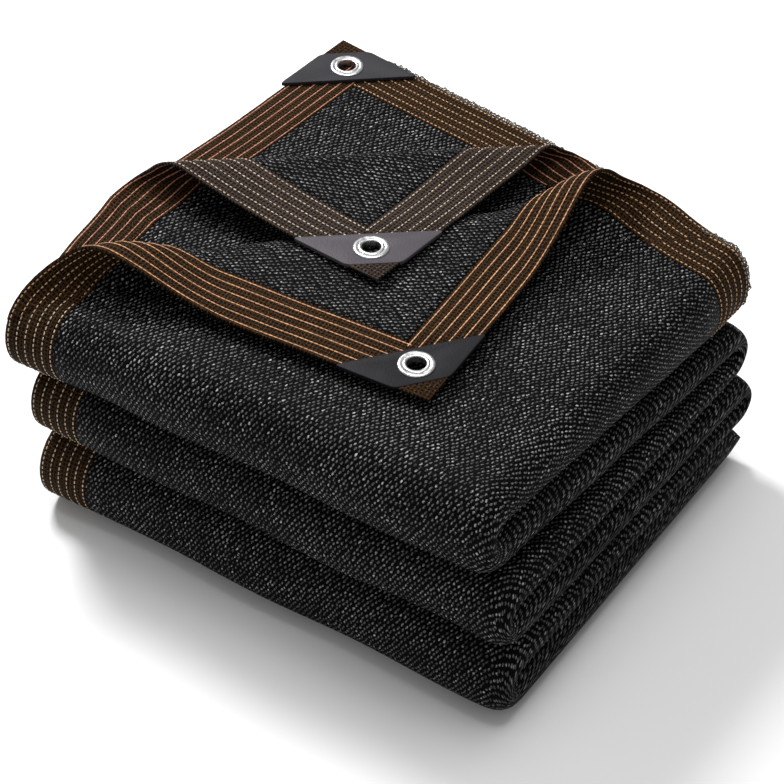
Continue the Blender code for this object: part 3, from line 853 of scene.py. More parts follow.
# The three patches are one coated material; each tone is set to how lit that patch looked, so the differences
# between them are painted light and shade.
PATCHES = {
    "top": PatchFinish("patch_painted_dark", (0.0050, 0.0048, 0.0066, 1.0), 0.62),
    "middle": PatchFinish("patch_painted_lit", (0.050, 0.045, 0.052, 1.0), 0.50),
    "back": PatchFinish("patch_painted_mid", (0.019, 0.018, 0.021, 1.0), 0.60),
}
BRIGHT_METAL = EyeletFinish("bright_metal", (0.52, 0.52, 0.53, 1.0), 0.27)
ORANGE = ThreadFinish("orange_thread", (0.66, 0.31, 0.135, 1.0), 0.6)
ROSE = ThreadFinish("rose_thread", (0.58, 0.225, 0.125, 1.0), 0.6)
CREAM = ThreadFinish("cream_thread", (0.60, 0.47, 0.33, 1.0), 0.6)
SELVAGE = ThreadFinish("selvage_yarn", (0.052, 0.036, 0.012, 1.0), 0.75)
TAN = ThreadFinish("tan_thread", (0.60, 0.34, 0.16, 1.0), 0.6)


def new_piece(name: str, mesh: Mesh, finish: Finish) -> Piece:
    """Make a mesh a named piece at the origin, with its finish."""
    piece = bpy.data.objects.new(name, mesh)
    bpy.context.scene.collection.objects.link(piece)
    mesh.materials.clear()
    mesh.materials.append(finish.material())
    for polygon in mesh.polygons:
        polygon.use_smooth = True
    return piece


def baked(piece: Piece) -> Piece:
    """Turn a piece's modifiers into its plain mesh."""
    bpy.context.view_layer.update()
    found = piece.evaluated_get(bpy.context.evaluated_depsgraph_get())
    piece.data = bpy.data.meshes.new_from_object(found, preserve_all_data_layers=True,
                                                 depsgraph=bpy.context.evaluated_depsgraph_get())
    piece.modifiers.clear()
    return piece


def thicken(piece: Piece, thickness: float, offset: float) -> Piece:
    """Give an open sheet its thickness and make it a plain mesh."""
    shell = piece.modifiers.new("Thickness", "SOLIDIFY")
    shell.thickness = thickness
    shell.offset = offset
    shell.use_even_offset = False
    return baked(piece)


def made_mesh(shape: bmesh.types.BMesh, name: str) -> Mesh:
    """Turn a worked shape into a mesh and free it."""
    mesh = bpy.data.meshes.new(name)
    shape.to_mesh(mesh)
    shape.free()
    return mesh


def grid_mesh(name: str, grids: Iterable[GridRows]) -> Mesh:
    """Join grids of points into one mesh with the cloth's cut as its UV map.

    Args:
        name: The mesh's name.
        grids: Rows of points, each with its place in the cut.

    Returns:
        The mesh, open at its edges.
    """
    shape = bmesh.new()
    cut = shape.loops.layers.uv.new("cut")
    places: dict[bmesh.types.BMVert, tuple[float, float]] = {}
    for rows in grids:
        made = []
        for row in rows:
            verts = [shape.verts.new(point) for point, _, _ in row]
            places.update({vert: (u, v) for vert, (_, u, v) in zip(verts, row)})
            made.append(verts)
        for first, second in zip(made, made[1:]):
            for near, far, over, under in zip(first, first[1:], second[1:], second):
                for loop in shape.faces.new((near, far, over, under)).loops:
                    loop[cut].uv = places[loop.vert]
    bmesh.ops.remove_doubles(shape, verts=shape.verts, dist=0.00002)
    return made_mesh(shape, name)


def travel(stops: Sequence[Station], spot: Callable[[Station], Vector]) -> list[float]:
    """Return the cloth's length up to each station."""
    lengths = [0.0]
    for first, second in zip(stops, stops[1:]):
        lengths.append(lengths[-1] + (spot(second) - spot(first)).length)
    return lengths


@dataclass
class FoldedPack:
    """The folded pack: its knitted cloth, and the taped edges of its plies."""

    shape: PackShape
    cloth_thick: float = 0.0014
    tape_thick: float = 0.0018
    run_steps: int = 14
    turn_steps: int = 14
    across_steps: int = 34
    side_steps: int = 9
    ply_levels: tuple[float, ...] = (1.0, 0.80, 0.60, 0.40, 0.20)
    ply_insets: tuple[float, ...] = (0.0, 0.0022, 0.0008, 0.0035, 0.0015)

    def wrap_rows(self, stops: Sequence[Station], inset: float, level: float) -> GridRows:
        """Return rows of the ply pair at a level, round its closed right side.

        Args:
            stops: The stations of the ply.
            inset: Distance from the left side.
            level: Place of the ply in its layer's thickness.

        Returns:
            Rows of points with their places in the cut.
        """
        shape = self.shape
        spots = [(step / self.across_steps, 0.0) for step in range(self.across_steps + 1)]
        spots += [(1.0, step / self.side_steps * math.pi / 2.0) for step in range(1, self.side_steps)]
        turn = [(across, angle, 1.0) for across, angle in spots]
        turn += [(1.0, math.pi / 2.0, 1.0)] + [(across, angle, -1.0) for across, angle in reversed(spots)]
        upper = travel(stops, lambda stop: shape.point(stop, 0.5, level, inset))
        lower = travel(stops, lambda stop: shape.point(stop, 0.5, -level, inset))
        rows = []
        for stop, near, far in zip(stops, upper, lower):
            row = [shape.point(stop, across, level * side, inset, angle) for across, angle, side in turn]
            shares = [(side * math.cos(angle) + 1.0) / 2.0 for _, angle, side in turn]
            u = inset
            placed = [(row[0], u, near)]
            for first, second, share in zip(row, row[1:], shares[1:]):
                u += (second - first).length
                placed.append((second, u, mix(far, near, share)))
            rows.append(placed)
        return rows

    def cloth(self) -> Piece:
        """Build the knitted cloth of the pack's outer plies."""
        stops = self.shape.stations(TAPE_WIDTH, self.run_steps, self.turn_steps)
        mesh = grid_mesh("pack_cloth", [self.wrap_rows(stops, TAPE_WIDTH, 1.0)])
        piece = thicken(new_piece("pack_cloth", mesh, BLACK_KNIT), self.cloth_thick, self.inward(mesh))
        length = travel(stops, lambda stop: self.shape.point(stop, 0.5, 0.0, TAPE_WIDTH))[-1]
        return piece

    def inward(self, mesh: Mesh) -> float:
        """Return the offset that thickens a wrap towards its inside."""
        highest = max(mesh.polygons, key=lambda polygon: polygon.center.z - abs(polygon.center.x))
        return -1.0 if highest.normal.z > 0.0 else 1.0

    def tape(self, name: str, grids: Iterable[GridRows], length: float) -> Piece:
        """Build a tape from its plies' grids."""
        mesh = grid_mesh(name, grids)
        piece = thicken(new_piece(name, mesh, BROWN_TAPE), self.tape_thick, self.inward(mesh))
        return piece

    def side_tape(self) -> Piece:
        """Build the taped left edges of all the plies."""
        shape = self.shape
        stops = shape.stations(0.0, self.run_steps, self.turn_steps)
        grids = []
        total = 0.0
        for level, inset in zip(self.ply_levels, self.ply_insets):
            widths = [mix(inset, TAPE_WIDTH, step / TAPE_STEPS) for step in range(TAPE_STEPS + 1)]
            for ply in (level, -level):
                lengths = travel(stops, lambda stop: shape.point(stop, 0.0, ply, inset))
                total += lengths[-1]
                rows = [[(shape.point(stop, 0.0, ply, width), width, length) for width in widths]
                        for stop, length in zip(stops, lengths)]
                grids.append([row[::-1] for row in rows] if ply < 0.0 else rows)
        return self.tape("pack_side_tape", grids, total)

    def end_tape(self) -> Piece:
        """Build the taped free end of the top layer's plies."""
        grids = []
        total = 0.0
        for level, inset in zip(self.ply_levels, self.ply_insets):
            insets = [mix(inset, TAPE_WIDTH, step / TAPE_STEPS) for step in range(TAPE_STEPS + 1)]
            rows = self.wrap_rows([Station("run", 0, 1.0, place) for place in insets], TAPE_WIDTH, level)
            total += rows[0][-1][1] - TAPE_WIDTH
            grids.append([[(point, TAPE_WIDTH * step / TAPE_STEPS, u) for point, u, _ in row]
                          for step, row in enumerate(rows)])
        return self.tape("pack_end_tape", grids, total)

    def build(self) -> None:
        """Build the pack's pieces and give them their nodes."""
        cloth, side, end = self.cloth(), self.side_tape(), self.end_tape()
        finish_piece(cloth, "knit", "panel")
        finish_piece(side, "tape", "side_tape")
        finish_piece(end, "tape", "end_tape")


def finish_piece(piece: Piece, slot: str, *nodes: str) -> None:
    """Make a piece ride on the body and stand for its nodes."""
    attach(piece, BODY)
    if nodes:
        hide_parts(*nodes)
    LOG.info("%s: %d faces", piece.name, len(piece.data.polygons))


@dataclass
class PeeledCorner:
    """A peeled corner: its cloth, and the tape along its two edges."""

    name: str
    shape: FlapShape
    tape_finish: TapeFinish
    cloth_thick: float = 0.0014
    tape_thick: float = 0.0018
    roll_step: float = 0.0028
    rest_step: float = 0.0075
    along_step: float = 0.0065
    along_count: int = 60
    fine_share: float = 1.3
    least_edge: float = 0.00015
    inside_facing: float = -0.2

    def sheet_mesh(self, name: str, outline: Sequence[tuple[float, float]]) -> Mesh:
        """Bend a flat outline over the fold.

        Args:
            name: The mesh's name.
            outline: Corners as distances from the side edge and the end edge.

        Returns:
            The bent mesh, with the cut as its UV map.
        """
        shape = self.shape
        flat = bmesh.new()
        flat.faces.new([flat.verts.new((u, w, 0.0)) for u, w in outline]).normal_update()
        angle = shape.fold_angle - shape.skew
        across = Vector((-math.sin(angle), -math.cos(angle), 0.0))
        along = Vector((math.cos(angle), -math.sin(angle), 0.0))
        fold_at = -shape.past_fold(0.0, 0.0)
        turned = (math.pi + shape.overturn) * max(shape.roll_left, shape.roll_right)
        longest = max(shape.ramp_left, shape.ramp_right)
        self.slice(flat, across, fold_at - longest, True)
        past = -longest
        while past < shape.past_fold(0.0, 0.0):
            self.slice(flat, across, fold_at + past)
            past += self.roll_step if past < turned * self.fine_share else self.rest_step
        for step in range(-self.along_count, self.along_count):
            self.slice(flat, along, self.along_step * step)
        bmesh.ops.dissolve_degenerate(flat, edges=flat.edges, dist=self.least_edge)
        early = [face for face in flat.faces if self.before_ramp(face.calc_center_median())]
        bmesh.ops.delete(flat, geom=early, context="FACES")
        cut = flat.loops.layers.uv.new("cut")
        for face in flat.faces:
            for loop in face.loops:
                loop[cut].uv = loop.vert.co.to_2d()
        for vert in flat.verts:
            vert.co = shape.point(vert.co.x, vert.co.y)
        return made_mesh(flat, name)

    def before_ramp(self, spot: Vector) -> bool:
        """Return whether a flat spot still lies on the pack."""
        return self.shape.past_fold(spot.x, spot.y) < -self.shape.ramp(spot.x, spot.y)

    @staticmethod
    def slice(flat: bmesh.types.BMesh, direction: Vector, place: float, clear: bool = False) -> None:
        """Cut a flat sheet along a line, and clear what lies before it if asked."""
        bmesh.ops.bisect_plane(flat, geom=flat.verts[:] + flat.edges[:] + flat.faces[:],
                               plane_co=direction * place, plane_no=direction, clear_inner=clear)

    def cloth(self) -> Piece:
        """Build the knitted cloth of the corner."""
        shape = self.shape
        outline = ((TAPE_WIDTH, TAPE_WIDTH), (shape.end_length, TAPE_WIDTH), (TAPE_WIDTH, shape.side_length))
        name = f"peeled_cloth_{self.name}"
        piece = thicken(new_piece(name, self.sheet_mesh(name, outline), BLACK_KNIT), self.cloth_thick, 0.0)
        self.declare(piece)
        return piece

    def tape(self, edge: str) -> Piece:
        """Build the tape along the side edge or the end edge.

        Args:
            edge: Either side or end.

        Returns:
            The piece.
        """
        shape = self.shape
        hidden = PATCH_LEG - PATCH_LAP
        length = shape.side_length if edge == "side" else shape.end_length
        outline = [(0.0, hidden), (hidden / 2.0, hidden / 2.0), (TAPE_WIDTH, TAPE_WIDTH),
                   (TAPE_WIDTH, length), (0.0, length)]
        if edge == "end":
            outline = [(w, u) for u, w in reversed(outline)]
        name = f"peeled_{edge}_tape_{self.name}"
        bent = new_piece(name, self.sheet_mesh(name, outline), self.tape_finish)
        piece = thicken(bent, self.tape_thick, 0.0)
        self.line_inside(piece)
        self.declare(piece)
        return piece

    def line_inside(self, piece: Piece) -> None:
        """Give the face inside the roll the brown of the tape's other side."""
        piece.data.materials.append(BROWN_TAPE.material())
        cut = piece.data.uv_layers["cut"].data
        for polygon in piece.data.polygons:
            spot = cut[polygon.loop_start].uv
            if polygon.normal.dot(self.shape.outward(spot.x, spot.y)) < self.inside_facing:
                polygon.material_index = 1

    def declare(self, piece: Piece) -> None:
        """Read the places of a piece's cut; nothing is done with them."""
        spots = [loop.uv for loop in piece.data.uv_layers["cut"].data]

    def build(self) -> None:
        """Build the corner's pieces and give them their nodes."""
        finish_piece(self.cloth(), "knit")
        for edge in ("side", "end"):
            finish_piece(self.tape(edge), "tape", f"{edge}_tape_{self.name}")


@dataclass
class CornerFitting:
    """A corner patch with its eyelet, and the taped corner that peeks out past it."""

    name: str
    place: Place
    tape_finish: TapeFinish
    thick: float = 0.0026
    rim: float = 0.0005
    overhang: float = 0.0012
    tip_round: float = 0.0035
    tip_thick: float = 0.0018
    tip_rim: float = 0.0003
    hole: float = 0.0068
    eyelet_outer: float = 0.011
    eyelet_inner: float = 0.00575
    flange: float = 0.0009
    segments: int = 64
    matrix: Matrix = field(init=False)

    def __post_init__(self) -> None:
        """Find the frame at the eyelet: X along the end edge and Z upwards."""
        step = 0.004
        centre = self.place(EYELET_INSET, EYELET_INSET)
        run = (self.place(EYELET_INSET + step, EYELET_INSET) - centre).normalized()
        drop = (self.place(EYELET_INSET, EYELET_INSET + step) - centre).normalized()
        up = run.cross(drop).normalized()
        up = up if up.z > 0.0 else -up
        self.matrix = Matrix((run, up.cross(run), up)).transposed().to_4x4()
        self.matrix.translation = centre

    def flat_outline(self, points: Sequence[tuple[float, float]]) -> list[Vector]:
        """Return points of the cut as places in the eyelet's frame."""
        inverse = self.matrix.inverted()
        return [(inverse @ self.place(u, w)).to_2d() for u, w in points]

    def rounded(self, corners: Sequence[Vector], radius: float) -> list[Vector]:
        """Round the corners of an outline with short curves."""
        points = []
        for index, corner in enumerate(corners):
            before = (corners[index - 1] - corner).normalized()
            after = (corners[(index + 1) % len(corners)] - corner).normalized()
            start, end = corner + before * radius, corner + after * radius
            for step in range(6):
                share = step / 5.0
                points.append(start.lerp(corner, share).lerp(corner.lerp(end, share), share))
        return points

    def circle(self, radius: float) -> list[Vector]:
        """Return points round a circle."""
        turns = [2.0 * math.pi * step / self.segments for step in range(self.segments)]
        return [Vector((radius * math.cos(turn), radius * math.sin(turn))) for turn in turns]

    def plate(self, name: str, outline: Sequence[Vector], hole: float, thick: float,
              rim: float) -> Mesh:
        """Make a flat plate with rounded edges.

        Args:
            name: The mesh's name.
            outline: The plate's outline in the eyelet's frame.
            hole: Radius of its round hole, or 0 for none.
            thick: The plate's thickness.
            rim: Radius of its rounded edges.

        Returns:
            The plate's mesh in the part's frame.
        """
        curve = bpy.data.curves.new(name, "CURVE")
        curve.dimensions = "2D"
        curve.fill_mode = "BOTH"
        curve.extrude = thick / 2.0 - rim
        curve.bevel_depth = rim
        curve.bevel_resolution = 3
        curve.offset = -rim
        for loop in [outline] + ([self.circle(hole)] if hole > 0.0 else []):
            spline = curve.splines.new("POLY")
            spline.points.add(len(loop) - 1)
            spline.use_cyclic_u = True
            for point, spot in zip(spline.points, loop):
                point.co = (spot.x, spot.y, 0.0, 1.0)
        holder = bpy.data.objects.new(name + "_outline", curve)
        bpy.context.scene.collection.objects.link(holder)
        bpy.context.view_layer.update()
        mesh = bpy.data.meshes.new_from_object(holder.evaluated_get(bpy.context.evaluated_depsgraph_get()))
        bpy.data.objects.remove(holder)
        shape = bmesh.new()
        shape.from_mesh(mesh)
        bmesh.ops.remove_doubles(shape, verts=shape.verts, dist=0.00001)
        bmesh.ops.recalc_face_normals(shape, faces=shape.faces)
        shape.transform(self.matrix)
        cut = shape.loops.layers.uv.new("cut")
        inverse = self.matrix.inverted()
        for face in shape.faces:
            for loop in face.loops:
                loop[cut].uv = (inverse @ loop.vert.co).to_2d()
        return made_mesh(shape, name)

    def eyelet_profile(self) -> list[tuple[float, float]]:
        """Return the closed profile of the eyelet, from its barrel out over both flanges."""
        seat = self.thick / 2.0 + 0.0001
        crown = seat + self.flange
        span = self.eyelet_outer - self.eyelet_inner
        half = [(0.0, -0.0006), (0.02, 0.0000), (0.10, 0.00030), (0.22, 0.00042), (0.33, 0.00034),
                (0.42, 0.00010), (0.46, -0.00010), (0.52, -0.00004), (0.62, 0.00008), (0.80, 0.00006),
                (0.92, -0.00014), (0.985, -0.00045), (1.0, -0.0009)]
        upper = [(self.eyelet_inner + span * share, crown + lift) for share, lift in half]
        upper += [(self.eyelet_inner + span * 0.985, seat), (self.hole - 0.0003, seat)]
        return upper + [(radius, -height) for radius, height in reversed(upper)]

    def eyelet(self) -> Piece:
        """Build the eyelet as a turned ring."""
        shape = bmesh.new()
        profile = self.eyelet_profile()
        rings = [[shape.verts.new((radius * way.x, radius * way.y, height)) for radius, height in profile]
                 for way in self.circle(1.0)]
        for ring, following in zip(rings, rings[1:] + rings[:1]):
            for step in range(len(profile)):
                after = (step + 1) % len(profile)
                shape.faces.new((ring[step], ring[after], following[after], following[step]))
        bmesh.ops.recalc_face_normals(shape, faces=shape.faces)
        shape.transform(self.matrix)
        name = f"bright_eyelet_{self.name}"
        mesh = made_mesh(shape, name)
        piece = new_piece(name, mesh, BRIGHT_METAL)
        mesh.set_sharp_from_angle(angle=math.radians(50.0))
        return piece

    def build(self) -> None:
        """Build the fitting's pieces and give them their nodes."""
        reach, leg, tip = -self.overhang, PATCH_LEG + 0.001, PATCH_CUT + 0.003
        corners = self.flat_outline(((leg, reach), (PATCH_CUT, reach), (reach, PATCH_CUT), (reach, leg)))
        name = f"sewn_patch_{self.name}"
        mesh = self.plate(name, self.rounded(corners, self.tip_round), self.hole, self.thick, self.rim)
        patch = new_piece(name, mesh, PATCHES[self.name])
        mesh.set_sharp_from_angle(angle=math.radians(35.0))
        outline = self.flat_outline(((0.0, 0.0), (tip, 0.0), (0.0, tip)))
        name = f"taped_tip_{self.name}"
        peek = new_piece(name, self.plate(name, outline, 0.0, self.tip_thick, self.tip_rim), self.tape_finish)
        metal = self.eyelet()
        finish_piece(patch, "patch", f"corner_patch_{self.name}")
        finish_piece(peek, "tape", f"taped_corner_{self.name}")
        finish_piece(metal, "eyelet", f"eyelet_{self.name}")


@dataclass
class SewnRow:
    """One row of stitches: where it runs, and which way the cloth faces there."""

    points: list[Vector]
    lifts: list[Vector]


def path_mesh(name: str, rows: Iterable[SewnRow], height: float) -> Mesh:
    """Return rows as edges that carry their lift.

    Args:
        name: The mesh's name.
        rows: The rows.
        height: How far the edges are raised along their lift.

    Returns:
        The mesh, which has edges only.
    """
    verts, edges, lifts = [], [], []
    for row in rows:
        start = len(verts)
        verts += [point + lift * height for point, lift in zip(row.points, row.lifts)]
        lifts += row.lifts
        edges += [(index, index + 1) for index in range(start, len(verts) - 1)]
    mesh = bpy.data.meshes.new(name)
    mesh.from_pydata(verts, edges, [])
    layer = mesh.attributes.new("lift", "FLOAT_VECTOR", "POINT")
    for item, lift in zip(layer.data, lifts):
        item.vector = lift
    return mesh


def stitch(bench: NodeBench, get: object) -> Socket:
    """Shape one stitch as a bead along its row."""
    bead = bench.add("GeometryNodeMeshUVSphere", {"Segments": 8, "Rings": 5, "Radius": 0.5}).outputs[0]
    size = bench.add("ShaderNodeCombineXYZ", {0: get["Length"], 1: get["Width"], 2: get["Rise"]})
    return bench.add("GeometryNodeTransform", {"Geometry": bead, "Scale": size.outputs[0]}).outputs[0]


def yarn_loop(bench: NodeBench, get: object) -> Socket:
    """Shape one round loop of yarn."""
    kind = "GeometryNodeCurvePrimitiveCircle"
    ring = bench.add(kind, {"Resolution": 7, "Radius": 0.5}, mode="RADIUS").outputs[0]
    yarn = bench.add(kind, {"Resolution": 4, "Radius": get["Yarn"]}, mode="RADIUS").outputs[0]
    sized = bench.add("GeometryNodeTransform", {"Geometry": ring, "Scale": get["Size"]}).outputs[0]
    return bench.add("GeometryNodeCurveToMesh", {0: sized, 1: yarn}).outputs[0]


@dataclass(frozen=True)
class RowItems:
    """Items that Geometry Nodes set out evenly along edges, turned by the lift of the edges."""

    name: str
    sizes: tuple[tuple[str, float], ...]
    upright: str
    least: tuple[float, float, float]
    most: tuple[float, float, float]
    seed: int
    shape: Callable[[NodeBench, object], Socket]
    stray: float = 0.0
    stray_seed: int = 11

    def tree(self) -> Tree:
        """Return the tree that sets the items out, made once. The first size is the step between items."""
        if self.name in bpy.data.node_groups:
            return bpy.data.node_groups[self.name]
        sizes = [(title, "Float", value) for title, value in self.sizes]
        inputs = [("Geometry", "Geometry", None)] + sizes + [("Thread", "Material", None)]
        bench = NodeBench(new_tree(self.name, "GeometryNodeTree", inputs, [("Geometry", "Geometry")]))
        get = bench.add("NodeGroupInput").outputs
        curve = bench.add("GeometryNodeMeshToCurve", {0: get["Geometry"]}).outputs[0]
        spacing = {"Curve": curve, "Length": get[self.sizes[0][0]]}
        evenly = bench.add("GeometryNodeResampleCurve", spacing, mode="LENGTH").outputs[0]
        kind = "GeometryNodeInputNamedAttribute"
        up = bench.add(kind, {"Name": "lift"}, data_type="FLOAT_VECTOR").outputs[0]
        if self.stray > 0.0:
            reach = [(side * self.stray,) * 3 for side in (-1.0, 1.0)]
            up = bench.vector("ADD", up, self.draw(bench, *reach, self.stray_seed))
        heading = bench.add("GeometryNodeInputTangent").outputs[0]
        turn = bench.add("FunctionNodeAxesToRotation", {0: up, 1: heading},
                         primary_axis=self.upright, secondary_axis="X").outputs[0]
        placing = {"Points": evenly, "Instance": self.shape(bench, get), "Rotation": turn,
                   "Scale": self.draw(bench, self.least, self.most, self.seed)}
        placed = bench.add("GeometryNodeInstanceOnPoints", placing).outputs[0]
        real = bench.add("GeometryNodeRealizeInstances", {0: placed}).outputs[0]
        round_items = bench.add("GeometryNodeSetShadeSmooth", {0: real}).outputs[0]
        dressing = {"Geometry": round_items, "Material": get["Thread"]}
        bench.add("NodeGroupOutput", {0: bench.add("GeometryNodeSetMaterial", dressing).outputs[0]})
        return bench.tree

    @staticmethod
    def draw(bench: NodeBench, least: Sequence[float], most: Sequence[float], seed: int) -> Socket:
        """Draw a random vector for each item between two limits."""
        limits = {"Min": least, "Max": most, "Seed": seed}
        return bench.add("FunctionNodeRandomValue", limits, data_type="FLOAT_VECTOR").outputs[0]

    def set_out(self, name: str, edges: Mesh, sizes: dict[str, float], thread: ThreadFinish) -> None:
        """Set the items out along edges, as a plain piece.

        Args:
            name: The piece's name.
            edges: Edges that carry their lift.
            sizes: Sizes of the items and the step between them.
            thread: The finish of their yarn.
        """
        piece = bpy.data.objects.new(name, edges)
        bpy.context.scene.collection.objects.link(piece)
        rows = piece.modifiers.new("Rows", "NODES")
        rows.node_group = self.tree()
        values = {**sizes, "Thread": thread.material()}
        for item in rows.node_group.interface.items_tree:
            if item.in_out == "INPUT" and item.name in values:
                rows[item.identifier] = values[item.name]
        finish_piece(baked(piece), "tape")


STITCHES = RowItems("stitch_rows", (("Pitch", 0.0033), ("Length", 0.0024), ("Width", 0.0007),
                                    ("Rise", 0.0006)),
                    "Z", (0.90, 0.85, 0.85), (1.06, 1.15, 1.1), 7, stitch)
YARN_LOOPS = RowItems("selvage_loops", (("Spacing", 0.0016), ("Size", 0.002), ("Yarn", 0.0004)),
                      "Y", (0.5, 0.45, 0.6), (1.1, 1.25, 1.1), 3, yarn_loop, stray=0.7)


@dataclass
class Sewing:
    """Rows of thread along the tape."""

    name: str
    finish: ThreadFinish
    side: Side
    rows: list[SewnRow] = field(default_factory=list)
    pitch: float = 0.0033
    width: float = 0.00085
    rise: float = 0.00070
    long_share: float = 1.22
    short_share: float = 0.74
    row_count: int = 6
    first_row: float = 0.0022
    row_gap: float = 0.0063

    def across(self) -> list[float]:
        """Return each row's distance from the tape's outer edge."""
        return [self.first_row + self.row_gap * index for index in range(self.row_count)]

    def add_row(self, place: Callable[[float], Vector], beside: Callable[[float], Vector], steps: int,
                facing: Callable[[float], Vector]) -> None:
        """Add a row.

        Args:
            place: Where the row is at a share of its length.
            beside: A spot on the cloth next to it.
            steps: How many points to take.
            facing: A direction that the visible face looks along.
        """
        shares = [step / steps for step in range(steps + 1)]
        points = [place(share) for share in shares]
        lifts = []
        for index, share in enumerate(shares):
            before, after = points[max(index - 1, 0)], points[min(index + 1, steps)]
            lift = (after - before).cross(beside(share) - points[index])
            if lift.length < 1e-12:
                lift = facing(share)
            lift = lift.normalized()
            lifts.append(lift if lift.dot(facing(share)) > 0.0 else -lift)
        self.rows.append(SewnRow(points, lifts))

    def build(self, height: float) -> None:
        """Set the rows out as stitches, raised from their points to the face of the cloth."""
        share = self.long_share if self.side is Side.NEEDLE else self.short_share
        sizes = {"Pitch": self.pitch, "Length": self.pitch * share, "Width": self.width, "Rise": self.rise}
        STITCHES.set_out(self.name, path_mesh(self.name, self.rows, height), sizes, self.finish)


def cut_spot(edge: str, offset: float, along: float) -> tuple[float, float]:
    """Return the place in the cut at a distance from an edge and a distance along it."""
    return (offset, along) if edge == "side" else (along, offset)


def end_point(pack: PackShape, stop: Station, reach: float, level: float) -> Vector:
    """Return a place on the free end at a share of its width, past 1 round the closed side."""
    return pack.point(stop, min(reach, 1.0), level, TAPE_WIDTH, max(0.0, reach - 1.0) * SIDE_TURN)


